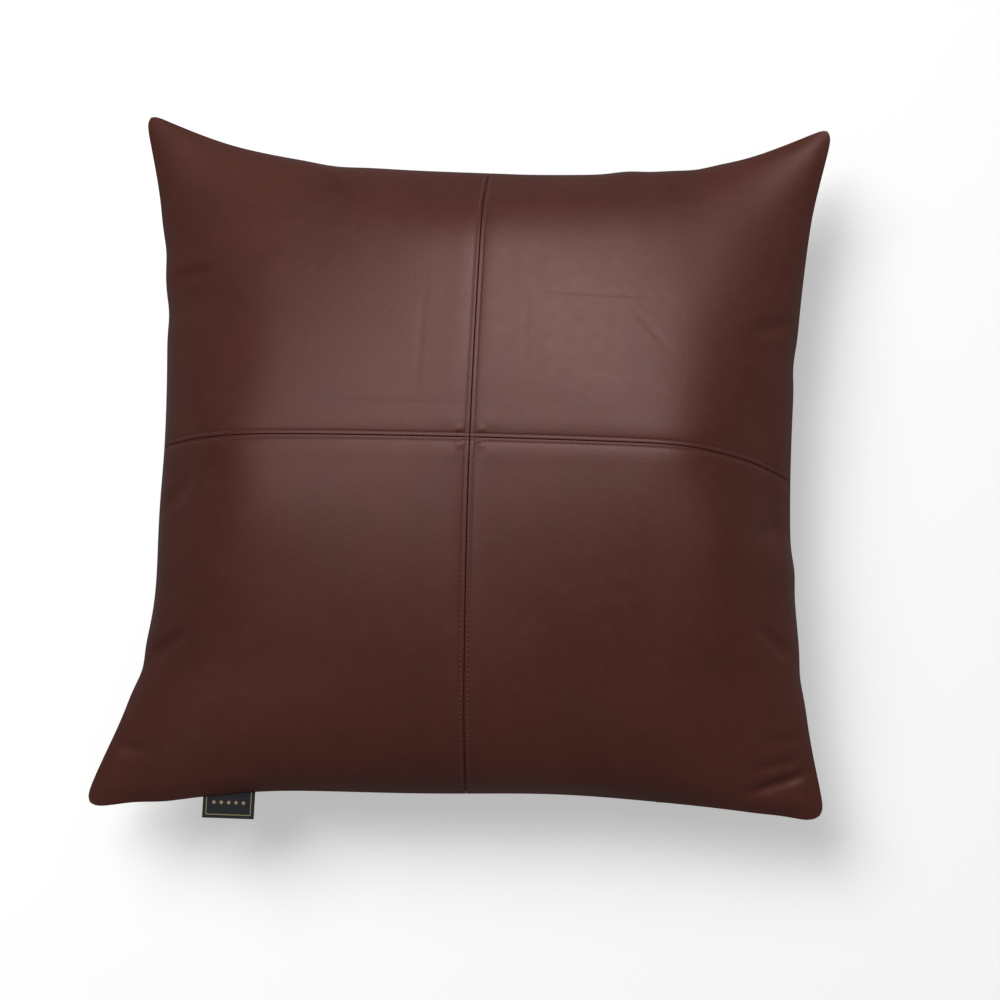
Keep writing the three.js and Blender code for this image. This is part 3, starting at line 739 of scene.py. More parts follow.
def stitches(name, starts, ends, ups, thickness):
    """One piece of many stitches, each from its start to its end on the leather."""
    step = ends - starts
    long = np.linalg.norm(step, axis=1, keepdims=True)
    points, faces = stitch_shape(float(long.mean()), thickness)
    along = step / long
    aside = np.cross(ups, along)
    aside /= np.linalg.norm(aside, axis=1, keepdims=True)
    upright = np.cross(along, aside)
    axes = np.stack([aside, upright, along], 1)
    placed = np.einsum("pk,skd->spd", points, axes) + ((starts + ends) / 2)[:, None]
    all_faces = [[i + len(points) * k for i in face] for k in range(len(starts)) for face in faces]
    made = mesh_object(name, placed.reshape(-1, 3), all_faces)
    clean(made)
    return made


def front_row(name, x, y, lift, thickness):
    """Stitches on the front along the flat places x, y, which are their ends one after the other."""
    spare = 0.09  # share of the pitch left free at each end of a stitch
    ends = [np.array(p, float) for p in (x, y)]
    low = [p[:-1] + spare * np.diff(p) for p in ends]
    high = [p[1:] - spare * np.diff(p) for p in ends]
    starts, up = front_point(*low, lift)
    stops, _ = front_point(*high, lift)
    return stitches(name, starts, stops, up, thickness)


def stitch_places(first, last, pitch):
    return np.linspace(first, last, round((last - first) / pitch) + 1)


# --- Hard pieces ---

X, Y, Z = range(3)
PAST = 0.001  # how far a cutting block stands out of what it cuts
HAIR = 0.00002  # a gap too fine to see


def block(name, low, high):
    bpy.ops.object.select_all(action="DESELECT")
    middle = [(a + b) / 2 for a, b in zip(low, high)]
    bpy.ops.mesh.primitive_cube_add(size=1, location=middle)
    made = bpy.context.object
    made.name = name
    made.scale = [b - a for a, b in zip(low, high)]
    bpy.ops.object.transform_apply(location=True, rotation=True, scale=True)
    return made


def round_edges(piece, chosen, radius, segments):
    select(piece, chosen, "edges")
    bpy.ops.mesh.bevel(offset=radius, segments=segments, affect="EDGES", clamp_overlap=True)
    leave_edit()


def narrow(piece, x_limit, centre_z, factor):
    """Scales in Z the part of a piece whose vertices lie below x_limit."""
    select(piece, lambda vertex: vertex.co.x < x_limit)
    bpy.ops.transform.resize(value=(1, 1, factor), center_override=(0, 0, centre_z))
    leave_edit()


def combine(piece, other, operation="UNION"):
    modifier = piece.modifiers.new("boolean", "BOOLEAN")
    modifier.operation = operation
    modifier.solver = "EXACT"
    modifier.object = other
    activate(piece)
    bpy.ops.object.modifier_apply(modifier=modifier.name)
    bpy.data.objects.remove(other)


def soften(piece, width, segments=2, angle=40):
    """Rounds every sharp edge and smooths the shading."""
    modifier = piece.modifiers.new("soften", "BEVEL")
    modifier.width = width
    modifier.segments = segments
    modifier.limit_method = "ANGLE"
    modifier.angle_limit = math.radians(angle)
    activate(piece)
    bpy.ops.object.modifier_apply(modifier=modifier.name)
    bpy.ops.object.shade_smooth_by_angle(angle=math.radians(35))


def edges_along(axis, face_axis=0, face=math.inf):
    """Tells which edges run along an axis. Where a face is given, they also lie on it or below it."""
    tolerance = 1e-6

    def chosen(edge):
        a, b = (vertex.co for vertex in edge.verts)
        step = (b - a).normalized()
        return abs(step[axis]) > 0.9 and a[face_axis] < face + tolerance

    return chosen


def coil(name, low, high, chain_z, shift, turn_pitch, wire):
    """Half of the zip's coil: a wound wire. The slider's post runs in the slot between it and the other."""
    half_slot = 0.0004
    inner = chain_z + half_slot if (low.z + high.z) / 2 > chain_z else chain_z - half_slot
    outer = high.z if (low.z + high.z) / 2 > chain_z else low.z
    radius = abs(outer - inner) / 2 - wire / 2
    flatness = ((high.y - low.y) / 2 - wire / 2) / radius
    rounds = int((high.x - low.x) / turn_pitch) - 1
    bpy.ops.object.select_all(action="DESELECT")
    bpy.ops.mesh.primitive_circle_add(
        vertices=6, radius=wire / 2, location=(0, 0, radius), rotation=(math.pi / 2, 0, 0)
    )
    made = bpy.context.object
    made.name = name
    bpy.ops.object.transform_apply(location=True, rotation=True, scale=True)
    screw = made.modifiers.new("wind", "SCREW")
    screw.axis = "X"
    screw.screw_offset = turn_pitch
    screw.iterations = rounds
    screw.steps = screw.render_steps = 10
    bpy.ops.object.modifier_apply(modifier=screw.name)
    select(made, lambda edge: edge.is_boundary, "edges")
    bpy.ops.mesh.fill_holes(sides=0)
    bpy.ops.mesh.select_all(action="SELECT")
    bpy.ops.transform.resize(value=(1, flatness, 1), center_override=(0, 0, 0))
    bpy.ops.transform.translate(
        value=(low.x + turn_pitch * (0.5 + shift), (low.y + high.y) / 2, (inner + outer) / 2)
    )
    bpy.ops.mesh.normals_make_consistent(inside=False)
    leave_edit()
    activate(made)
    bpy.ops.object.shade_smooth()
    return made


# --- Sheets of the label, the zip and the inner cushion ---

def folded_label(name):
    """A woven strip folded in half, with its fold hanging out beyond the bottom edge."""
    label = settings("cushion_label")
    radius = (LABEL_HIGH.z - LABEL_LOW.z) / 2 - label.cloth / 2
    middle = (LABEL_HIGH.z + LABEL_LOW.z) / 2
    straight = LABEL_HIGH.y - LABEL_LOW.y - radius - label.cloth / 2
    bend = math.pi * radius
    total = 2 * straight + bend
    first = np.linspace(0, straight, 22)
    fold = straight + bend * np.arange(1, 8) / 8
    second = np.linspace(straight + bend, total, 22)
    along = np.concatenate([first, fold, second])
    turn = np.clip((along - straight) / bend, 0, 1) * math.pi
    beyond = np.maximum(0, along - straight - bend)
    y = LABEL_HIGH.y - np.minimum(along, straight) - radius * np.sin(turn) + beyond
    z = middle + radius * np.cos(turn)
    out_y, out_z = -np.sin(turn), np.cos(turn)
    across = np.linspace(LABEL_LOW.x, LABEL_HIGH.x, 30)
    share = (LABEL_HIGH.y - y) / (LABEL_HIGH.y - LABEL_LOW.y)
    wide = (across - across.mean()) / (across[-1] - across[0]) * 2
    sag, curl = -0.0004, 0.00025
    droop = sag * share[:, None] ** 2 + curl * share[:, None] * wide**2

    def side(offset):
        flat_x = np.broadcast_to(across, (len(along), len(across)))
        return np.stack(
            [
                flat_x,
                np.broadcast_to((y + offset * out_y)[:, None], flat_x.shape),
                (z + offset * out_z)[:, None] + droop,
            ],
            -1,
        )

    flat = np.stack(np.broadcast_arrays(across[None] - across[0], along[:, None], 0.0), -1)
    made = closed_sheet(name, side(label.cloth / 2), side(-label.cloth / 2), flat, False)
    return made, (LABEL_HIGH.x - LABEL_LOW.x, total)


def outline_strip(name, path, thickness, low_x, high_x, columns):
    """A strip along X whose section follows the path of y, z points."""
    path = np.array(path)
    step = np.gradient(path, axis=0)
    aside = np.stack([step[:, 1], -step[:, 0]], -1)
    aside /= np.linalg.norm(aside, axis=1, keepdims=True)
    across = np.linspace(low_x, high_x, columns)
    far = np.concatenate([[0], np.cumsum(np.linalg.norm(np.diff(path, axis=0), axis=1))])

    def side(offset):
        at = path + aside * offset
        return np.stack(np.broadcast_arrays(across[None], at[:, :1], at[:, 1:]), -1)

    flat = np.stack(np.broadcast_arrays(across[None], far[:, None], 0.0), -1)
    return closed_sheet(name, side(0), side(-thickness), flat, True), far[-1]


def zip_tape(name, side):
    """A tape, upright by the chain and then leaning in. side is 1 for the front's and -1 for the back's."""
    cloth = 0.0007
    near, flat_end, far = 0.0009, 0.0047, TAPE_HIGH.z - SEAM_HEIGHT  # distances from the chain's middle
    lean = TAPE_HIGH.y - cloth - TAPE_LOW.y + (BACK_TAPE_LEAN if side < 0 else 0)
    slope = lean / (far - flat_end)
    distances = np.concatenate([np.linspace(near, flat_end, 8), np.linspace(flat_end, far, 12)[1:]])
    path = [(TAPE_LOW.y + slope * max(0, d - flat_end), SEAM_HEIGHT + side * d) for d in distances]
    path = path if side < 0 else path[::-1]
    made, wide = outline_strip(name, path, cloth, -TAPE_END, TAPE_END, 160)
    return made, (2 * TAPE_END, wide)


def inner_surface(side, places, plan, rise):
    """A smaller copy of the cover's front, or of its back where side is -1, kept clear of the zip."""
    fade = 0.02
    layer = cover_layers()[0 if side > 0 else 1]
    share = places / FLAT_HALF
    points = layer.grid(share, share)
    open_share = mouth(points[..., 0], np.broadcast_to(share[:, None], points.shape[:2]))
    points[..., 2] -= side * open_share * (MOUTH_GAP - SEAM_GAP) / 2
    points[..., :2] *= plan
    bottom = points[0]
    beside_zip = 1 - smoothstep(np.abs(bottom[:, 0]), TAPE_END, TAPE_END + fade)
    clear = np.minimum(1, (BEHIND_ZIP / bottom[:, 1]) ** beside_zip)
    points[..., 1] *= 1 + (clear - 1) * (1 - share[:, None]) / 2
    points[..., 2] = SEAM_HEIGHT + (points[..., 2] - SEAM_HEIGHT) * rise[side]
    return points


def insert_shell(name, side):
    places = np.linspace(-FLAT_HALF, FLAT_HALF, 121)
    outer = inner_surface(side, places, INSERT_PLAN, INSERT_RISE)
    share = np.maximum(np.abs(places)[:, None], np.abs(places)[None]) / FLAT_HALF
    rim = smoothstep(share, 0.9, 1)[..., None]
    normal = grid_normals(outer, side)
    inner = outer - normal * COTTON * (1 - rim)
    inner[..., :2] *= 1 - rim * COTTON / HALF
    inner[..., 2] += side * COTTON * 0.2 * rim[..., 0]
    flat_x, flat_y = np.meshgrid(places, places)
    flat = np.stack([flat_x, flat_y, flat_x * 0], -1)
    return closed_sheet(name, outer, inner, flat, side > 0)


def grid_normals(points, side):
    along_x = np.gradient(points, axis=1)
    along_y = np.gradient(points, axis=0)
    found = np.cross(along_x, along_y)
    found /= np.linalg.norm(found, axis=-1, keepdims=True) + 1e-12
    return found * side


def filling(name):
    """The loose filling, as the lumpy pad that it makes inside its shell."""
    places = np.linspace(-FLAT_HALF, FLAT_HALF, 91)
    upper = inner_surface(1, places, FILLING_PLAN, FILLING_RISE)
    lower = inner_surface(-1, places, FILLING_PLAN, FILLING_RISE)
    lumps = np.random.default_rng(11).normal(0, 1, (2,) + upper.shape[:2])
    for _ in range(6):
        neighbours = [np.roll(lumps, step, axis) for axis in (1, 2) for step in (1, -1)]
        lumps = sum(neighbours, lumps) / 5
    share = np.maximum(np.abs(places)[:, None], np.abs(places)[None]) / FLAT_HALF
    lump = 0.0016
    height = lump * np.clip(np.abs(lumps) / lumps.std(), 0, 1.5) * (1 - smoothstep(share, 0.85, 1))
    upper[..., 2] -= height[0]
    lower[..., 2] += height[1]
    flat_x, flat_y = np.meshgrid(places, places)
    flat = np.stack([flat_x, flat_y, flat_x * 0], -1)
    return closed_sheet(name, upper, lower, flat, True)


# --- Materials ---

def surface(name, base=(0.5, 0.5, 0.5), roughness=0.5, metallic=0.0, sheen=0.0):
    """A new material with its shader's plain values set. Gives the material, its nodes and the shader."""
    made = bpy.data.materials.new(name)
    made.use_nodes = True
    nodes = made.node_tree
    shader = nodes.nodes["Principled BSDF"]
    shader.inputs["Base Color"].default_value = (*base, 1)
    shader.inputs["Roughness"].default_value = roughness
    shader.inputs["Metallic"].default_value = metallic
    shader.inputs["Sheen Weight"].default_value = sheen
    return made, nodes, shader


def node(tree, kind, inputs=(), **values):
    """A new shader node. inputs are pairs of a socket's name and its value, or the output that feeds it."""
    made = tree.nodes.new(kind)
    for key, value in values.items():
        setattr(made, key, value)
    for key, value in inputs:
        if isinstance(value, bpy.types.NodeSocket):
            tree.links.new(value, made.inputs[key])
        else:
            made.inputs[key].default_value = value
    return made


def maths(tree, operation, *values):
    return node(tree, "ShaderNodeMath", enumerate(values), operation=operation).outputs[0]


def distance(tree, value, centre):
    """How far a value is from another, either way."""
    return maths(tree, "ABSOLUTE", maths(tree, "SUBTRACT", value, centre))


def blended(tree, share, first, second):
    """A colour between two others, each one a colour or an output."""
    colours = [(*c, 1) if isinstance(c, tuple) else c for c in (first, second)]
    inputs = [(0, share), (6, colours[0]), (7, colours[1])]
    return node(tree, "ShaderNodeMix", inputs, data_type="RGBA").outputs[2]


def between(tree, value, low, high):
    """0 where the value is at low, 1 where it is at high, and smooth between."""
    inputs = [("Value", value), ("From Min", low), ("From Max", high)]
    return node(tree, "ShaderNodeMapRange", inputs, interpolation_type="SMOOTHSTEP").outputs[0]


def bumped(tree, shader, height, distance, strength=1.0):
    """Adds a bump under the ones that the shader already has."""
    inputs = [("Height", height), ("Distance", distance), ("Strength", strength)]
    if shader.inputs["Normal"].links:
        inputs.append(("Normal", shader.inputs["Normal"].links[0].from_socket))
    bump = node(tree, "ShaderNodeBump", inputs)
    tree.links.new(bump.outputs[0], shader.inputs["Normal"])


def place(tree):
    return node(tree, "ShaderNodeTexCoord").outputs["Object"]


def flat_place(tree):
    """The outputs of the flat attribute: across, along, and how far from the nearer seam."""
    flat = node(tree, "ShaderNodeAttribute", attribute_name="flat")
    return node(tree, "ShaderNodeSeparateXYZ", [(0, flat.outputs["Vector"])]).outputs


def noise(tree, where, scale, detail=2.0, roughness=0.5):
    inputs = [("Vector", where), ("Scale", scale), ("Detail", detail), ("Roughness", roughness)]
    return node(tree, "ShaderNodeTexNoise", inputs).outputs["Fac"]


@functools.lru_cache(maxsize=None)
def leather_material():
    cover = settings("cushion_cover")
    made, tree, shader = surface("leather", roughness=cover.roughness)
    shader.inputs["Specular IOR Level"].default_value = cover.gloss
    shader.inputs["Specular Tint"].default_value = (1.0, 0.69, 0.67, 1)
    where = place(tree)
    broad = noise(tree, where, 14.0, 3.0, 0.6)
    fine = noise(tree, where, 110.0, 4.0, 0.6)
    tones = blended(tree, between(tree, broad, 0.34, 0.68), tuple(cover.deep), tuple(cover.tone))
    patches = maths(tree, "MULTIPLY", between(tree, fine, 0.48, 0.72), 0.3)
    worn = blended(tree, patches, tones, tuple(cover.worn))
    across, along, beside = flat_place(tree)
    # Painted shade: the leather is darkened within 0.8 mm of a seam's fold and in the needle holes of the
    # topstitching, where these recesses lie in shade.
    groove = between(tree, beside, 0.0008, 0.0002)
    groove = maths(tree, "MAXIMUM", maths(tree, "MULTIPLY", groove, 0.85), needle_holes(tree, across, along))
    painted_shade_colour = (0.046, 0.0080, 0.0065)
    tone_with_painted_shade = blended(tree, groove, worn, painted_shade_colour)
    tree.links.new(tone_with_painted_shade, shader.inputs["Base Color"])
    pebbles = node(tree, "ShaderNodeTexVoronoi", [("Vector", where), ("Scale", 780.0)], feature="SMOOTH_F1")
    soft = noise(tree, where, 260.0, 4.0, 0.55)
    pores = noise(tree, where, 2100.0, 2.0, 0.5)
    bumped(tree, shader, soft, 0.00006)
    bumped(tree, shader, pebbles.outputs["Distance"], 0.00005, 0.4)
    bumped(tree, shader, pores, 0.00002, 0.4)
    dullness = maths(tree, "ADD", maths(tree, "MULTIPLY", fine, 0.1), cover.roughness - 0.05)
    tree.links.new(dullness, shader.inputs["Roughness"])
    return made


def needle_holes(tree, across, along):
    """1 in the holes at the ends of the topstitches and 0 elsewhere: the mask of the shade painted into the
    holes.
    """
    seams = settings("cushion_seams")
    clear, full = 0.00075, 0.0003  # distances from a hole's middle
    holes = []
    for beside, other, first in ((across, along, -STITCH_END), (along, across, ROW_START)):
        ends = stitch_places(first, STITCH_END, seams.pitch)
        pitch = float(ends[1] - ends[0])
        from_row = maths(tree, "SUBTRACT", maths(tree, "ABSOLUTE", beside), seams.offset)
        far = other if first < 0 else maths(tree, "ABSOLUTE", other)
        shifted = maths(tree, "FLOORED_MODULO", maths(tree, "SUBTRACT", far, first - pitch / 2), pitch)
        from_end = maths(tree, "SUBTRACT", shifted, pitch / 2)
        squares = [maths(tree, "MULTIPLY", value, value) for value in (from_row, from_end)]
        near = between(tree, maths(tree, "SQRT", maths(tree, "ADD", *squares)), clear, full)
        inside = maths(tree, "GREATER_THAN", far, first - pitch / 2)
        holes.append(maths(tree, "MULTIPLY", near, inside))
    return maths(tree, "MAXIMUM", *holes)


@functools.lru_cache(maxsize=None)
def thread_material():
    made, tree, shader = surface("thread", tuple(settings("cushion_seams").tone), 0.62, sheen=0.2)
    where = place(tree)
    bumped(tree, shader, noise(tree, where, 4200.0, 1.0), 0.00006)
    return made


@functools.lru_cache(maxsize=None)
def label_material():
    """Woven black ground with a thin border and one row of small lozenges in gold yarn."""
    label = settings("cushion_label")
    made, tree, shader = surface("label", tuple(label.ground), 0.7, sheen=0.15)
    across, along, _ = flat_place(tree)
    width = LABEL_HIGH.x - LABEL_LOW.x
    border_inset, border_half = 0.0022, 0.00022
    pitch, row_height, lozenge_half = 0.0045, 0.0095, 0.0013
    from_side = maths(tree, "SUBTRACT", width / 2, distance(tree, across, width / 2))
    fold = LABEL_HIGH.y - LABEL_LOW.y
    from_fold = maths(tree, "SUBTRACT", fold, along)
    inset = maths(tree, "MINIMUM", from_side, from_fold)
    border = maths(tree, "LESS_THAN", distance(tree, inset, border_inset), border_half)
    within = distance(tree, maths(tree, "FLOORED_MODULO", across, pitch), pitch / 2)
    shape = maths(tree, "ADD", within, distance(tree, from_fold, row_height))
    lozenge = maths(tree, "LESS_THAN", shape, lozenge_half)
    lozenge = maths(tree, "MULTIPLY", lozenge, maths(tree, "GREATER_THAN", from_side, pitch))
    upper = maths(tree, "GREATER_THAN", from_fold, 0.0)
    gold = maths(tree, "MULTIPLY", maths(tree, "MAXIMUM", border, lozenge), upper)
    tree.links.new(blended(tree, gold, tuple(label.ground), tuple(label.gold)), shader.inputs["Base Color"])
    yarn = 0.0004
    bumped(tree, shader, weave(tree, across, along, yarn), 0.00008)
    return made


def weave(tree, across, along, pitch):
    """The height of a plain weave, with its yarns along both directions."""
    angles = [maths(tree, "MULTIPLY", way, 2 * math.pi / pitch) for way in (across, along)]
    return maths(tree, "MULTIPLY", *(maths(tree, "SINE", angle) for angle in angles))


@functools.lru_cache(maxsize=None)
def tape_material():
    made, tree, shader = surface("zip_tape", tuple(settings("cushion_zip").tape), 0.8, sheen=0.3)
    across, along, _ = flat_place(tree)
    column, yarn = 0.0026, 0.0009
    zigzag = distance(tree, maths(tree, "FLOORED_MODULO", along, column), column / 2)
    leaning = maths(tree, "ADD", across, zigzag)
    bumped(tree, shader, maths(tree, "SINE", maths(tree, "MULTIPLY", leaning, 2 * math.pi / yarn)), 0.00012)
    return made


@functools.lru_cache(maxsize=None)
def coil_material():
    return surface("zip_coil", tuple(settings("cushion_zip").coil), 0.38)[0]


@functools.lru_cache(maxsize=None)
def brass_material():
    metal, tarnished = tuple(settings("cushion_zip").metal), (0.10, 0.066, 0.036)
    made, tree, shader = surface("antique_brass", metal, 0.4, metallic=1.0)
    tarnish = between(tree, noise(tree, place(tree), 420.0, 4.0, 0.6), 0.45, 0.7)
    tree.links.new(blended(tree, tarnish, metal, tarnished), shader.inputs["Base Color"])
    return made


@functools.lru_cache(maxsize=None)
def cotton_material():
    made, tree, shader = surface("cotton", (0.75, 0.7, 0.62), 0.85, sheen=0.2)
    across, along, _ = flat_place(tree)
    yarn = 0.0008
    bumped(tree, shader, weave(tree, across, along, yarn), 0.00012)
    return made


@functools.lru_cache(maxsize=None)
def filling_material():
    made, tree, shader = surface("filling", (0.85, 0.84, 0.8), 0.95, sheen=0.4)
    bumped(tree, shader, noise(tree, place(tree), 160.0, 6.0, 0.7), 0.002)
    return made


def floor_material():
    made, _, shader = surface("floor", (0.66, 0.66, 0.66), 0.9)
    shader.inputs["Specular IOR Level"].default_value = 0
    shader.inputs["Emission Color"].default_value = (1, 1, 1, 1)
    shader.inputs["Emission Strength"].default_value = 0.42
    return made


# --- Operators ---

class CushionOperator:
    """What the operators share: one undo step each, and run only in object mode."""

    bl_options = {"REGISTER", "UNDO"}

    @classmethod
    def poll(cls, context):
        return context.mode == "OBJECT"


class CUSHION_OT_front_quarters(CushionOperator, bpy.types.Operator):
    """Make the four leather quarters of the front"""

    bl_idname = "cushion.front_quarters"
    bl_label = "Front Quarters"

    def execute(self, context):
        allowance = settings("cushion_cover").allowance
        for up, sign_y in (("top", 1), ("bottom", -1)):
            for side, sign_x in (("left", -1), ("right", 1)):
                piece = front_quarter(f"leather_{up}_{side}", sign_x, sign_y)
                finish_piece(piece, "cushion", leather_material(), "leather", f"front_panel_{up}_{side}")
                wide = FLAT_HALF + settings("cushion_seams").fold + allowance
        return {"FINISHED"}


class CUSHION_OT_back_panel(CushionOperator, bpy.types.Operator):
    """Make the leather back"""

    bl_idname = "cushion.back_panel"
    bl_label = "Back Panel"

    def execute(self, context):
        piece = back_leather("leather_back")
        finish_piece(piece, "cushion", leather_material(), "leather", "back_panel")
        allowance = settings("cushion_cover").allowance
        return {"FINISHED"}


class CUSHION_OT_topstitching(CushionOperator, bpy.types.Operator):
    """Sew the rows of stitches that show along the front's seams"""

    bl_idname = "cushion.topstitching"
    bl_label = "Topstitching"

    def execute(self, context):
        seams = settings("cushion_seams")
        lift = 0.0001
        for side, sign in (("left", -1), ("right", 1)):
            y = stitch_places(-STITCH_END, STITCH_END, seams.pitch)
            piece = front_row(f"stitches_vertical_{side}", y * 0 + sign * seams.offset, y, lift, seams.thread)
            finish_piece(piece, "cushion", thread_material(), "thread", f"topstitch_vertical_{side}")
            for level, up in (("top", 1), ("bottom", -1)):
                x = stitch_places(ROW_START, STITCH_END, seams.pitch) * sign
                y = x * 0 + up * seams.offset
                piece = front_row(f"stitches_{side}_{level}", x, y, lift, seams.thread)
                node_name = f"topstitch_horizontal_{side}_{level}"
                finish_piece(piece, "cushion", thread_material(), "thread", node_name)
        return {"FINISHED"}


def side_line(side, v_places, inset):
    """Points of a side of the cover, moved in by inset."""
    layer = cover_layers()[0]
    ones = np.ones(len(v_places))
    u, v = {"left": (-ones, v_places), "right": (ones, v_places), "top": (v_places, ones)}[side]
    points = layer.at(u, v)
    points[:, :2] *= 1 - inset / HALF
    points[:, 2] = points[:, 2] - SEAM_GAP / 2
    return points


def edge_rows(name, inset, plan, height, pitch, thickness):
    """Stitches round the left, top and right sides, on both faces of what they hold together."""
    reached = 0.95  # share of a side that is sewn
    spare = 0.06  # share of the pitch left free at each end of a stitch
    rows = []
    for side in ("left", "top", "right"):
        share = np.linspace(-reached, reached, round(2 * FLAT_HALF * reached / pitch) + 1)
        rows.append(side_line(side, share, inset))
    ends = [(row[:-1] + np.diff(row, axis=0) * spare, row[1:] - np.diff(row, axis=0) * spare) for row in rows]
    starts, stops = (np.concatenate([pair[k] for pair in ends]) for k in (0, 1))
    for points in (starts, stops):
        points[:, :2] *= plan
    both = [np.concatenate([points + (0, 0, height), points - (0, 0, height)]) for points in (starts, stops)]
    ups = np.repeat([(0, 0, 1.0), (0, 0, -1.0)], len(starts), 0)
    return stitches(name, *both, ups, thickness)


class CUSHION_OT_seam_threads(CushionOperator, bpy.types.Operator):
    """Sew the threads that lie inside the seams"""

    bl_idname = "cushion.seam_threads"
    bl_label = "Seam Threads"

    def execute(self, context):
        seams = settings("cushion_seams")
        below = -0.0004
        clear = 0.0035  # where the horizontal threads start, beside the vertical one
        end = STITCH_END - 0.006
        y = stitch_places(-end, end, seams.pitch)
        rows = [("vertical", y * 0, y)]
        for side, sign in (("left", -1), ("right", 1)):
            x = sign * stitch_places(clear, end, seams.pitch)
            rows.append((side, x, x * 0))
        for name, x, y in rows:
            piece = front_row(f"seam_thread_{name}", x, y, below, SEWING_THREAD)
            finish_piece(piece, "cushion", thread_material(), "thread", f"centre_seam_thread_{name}")
        piece = edge_rows("seam_thread_edge", 0.004, 1.0, 0.00085, seams.pitch, SEWING_THREAD)
        finish_piece(piece, "cushion", thread_material(), "thread", "edge_seam_thread")
        piece = edge_rows("seam_thread_inner", 0.003, INSERT_PLAN, 0.00012, seams.pitch, SEWING_THREAD)
        finish_piece(piece, "cushion", cotton_material(), "insert_cotton", "insert_thread")
        return {"FINISHED"}


class CUSHION_OT_side_label(CushionOperator, bpy.types.Operator):
    """Fold the woven side label into the bottom edge"""

    bl_idname = "cushion.side_label"
    bl_label = "Side Label"

    def execute(self, context):
        piece, flat = folded_label("woven_label")
        finish_piece(piece, "cushion", label_material(), "label", "side_label")
        return {"FINISHED"}


class CUSHION_OT_zip_tapes(CushionOperator, bpy.types.Operator):
    """Weave the two tapes of the zip"""

    bl_idname = "cushion.zip_tapes"
    bl_label = "Zip Tapes"

    def execute(self, context):
        for side, sign in (("front", 1), ("back", -1)):
            piece, flat = zip_tape(f"tape_{side}", sign)
            finish_piece(piece, "cushion", tape_material(), "zip_tape", f"zip_tape_{side}")
        return {"FINISHED"}


class CUSHION_OT_zip_coils(CushionOperator, bpy.types.Operator):
    """Wind the two halves of the zip's coil"""

    bl_idname = "cushion.zip_coils"
    bl_label = "Zip Coils"

    def execute(self, context):
        zip_settings = settings("cushion_zip")
        for side, shift in (("front", 0.0), ("back", 0.5)):
            low, high = (v.copy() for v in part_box(f"zip_coil_{side}"))
            high.y = TAPE_LOW.y - HAIR
            piece = coil(f"coil_{side}", low, high, SEAM_HEIGHT, shift, zip_settings.pitch, zip_settings.wire)
            finish_piece(piece, "cushion", coil_material(), "zip_coil", f"zip_coil_{side}")
        return {"FINISHED"}


class CUSHION_OT_zip_stops(CushionOperator, bpy.types.Operator):
    """Crimp the two top stops and the bottom stop onto the tapes"""

    bl_idname = "cushion.zip_stops"
    bl_label = "Zip Stops"

    def execute(self, context):
        for name in ("zip_top_stop_front", "zip_top_stop_back", "zip_bottom_stop"):
            low, high = (v.copy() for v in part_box(name))
            high.y = TAPE_LOW.y - HAIR
            piece = block(name.replace("zip_", "brass_"), low, high)
            round_edges(piece, edges_along(X, Y, low.y), 0.0006, 4)
            middle = (low.x + high.x) / 2
            half_groove, groove_depth = 0.0003, 0.0002
            groove_low = (middle - half_groove, low.y - PAST, low.z - PAST)
            groove_high = (middle + half_groove, low.y + groove_depth, high.z + PAST)
            combine(piece, block("groove", groove_low, groove_high), "DIFFERENCE")
            soften(piece, 0.00012)
            finish_piece(piece, "cushion", brass_material(), "zip_metal", name)
        return {"FINISHED"}


class CUSHION_OT_zip_slider(CushionOperator, bpy.types.Operator):
    """Make the zip's slider"""

    bl_idname = "cushion.zip_slider"
    bl_label = "Zip Slider"

    def execute(self, context):
        low, high = SLIDER_LOW, SLIDER_HIGH
        plate, wall, bar = 0.0012, 0.0007, 0.001
        chain = (low.z + high.z) / 2
        middle = (low.x + high.x) / 2
        outer_face = PULL_LOW.y / 2 + PULL_HIGH.y / 2 + 0.00105
        inside_plate = outer_face + plate / 2
        waist, waist_share = middle - 0.002, 0.93
        plates = []
        for y in (outer_face, high.y - plate):
            made = block("plate", (low.x, y, low.z), (high.x, y + plate, high.z))
            round_edges(made, edges_along(Y), 0.0018, 5)
            narrow(made, waist, chain, waist_share)
            plates.append(made)
        slider = plates[0]
        slider.name = "brass_slider"
        parts = [plates[1]]
        for side in (1, -1):
            z = sorted((chain + side * (high.z - chain - wall), chain + side * (high.z - chain)))
            wall_inset, wall_end = 0.0012, TAPE_LOW.y - 0.0004
            wall_low = (low.x + wall_inset, inside_plate, z[0])
            wall_high = (high.x - wall_inset, wall_end, z[1])
            made = block("wall", wall_low, wall_high)
            narrow(made, waist, chain, waist_share)
            parts.append(made)
        post_start, post_end, half_post = 0.002, 0.006, 0.0003
        post_low = (middle + post_start, inside_plate, chain - half_post)
        post_high = (middle + post_end, high.y - plate / 2, chain + half_post)
        parts.append(block("post", post_low, post_high))
        for part in parts:
            combine(slider, part)
        half, half_width = 0.0034, 0.0011
        arch_low = (middle - half, low.y, chain - half_width)
        arch_high = (middle + half, inside_plate, chain + half_width)
        arch = block("arch", arch_low, arch_high)
        round_edges(arch, edges_along(Z, Y, low.y), 0.0011, 6)
        window = block(
            "window",
            (middle - half + bar, low.y + bar, chain - 2 * half_width),
            (middle + half - bar, outer_face, chain + 2 * half_width),
        )
        round_edges(window, edges_along(Z, Y, low.y + bar), 0.0005, 4)
        combine(arch, window, "DIFFERENCE")
        combine(slider, arch)
        soften(slider, 0.00013)
        finish_piece(slider, "slider", brass_material(), "zip_metal", "zip_slider")
        return {"FINISHED"}


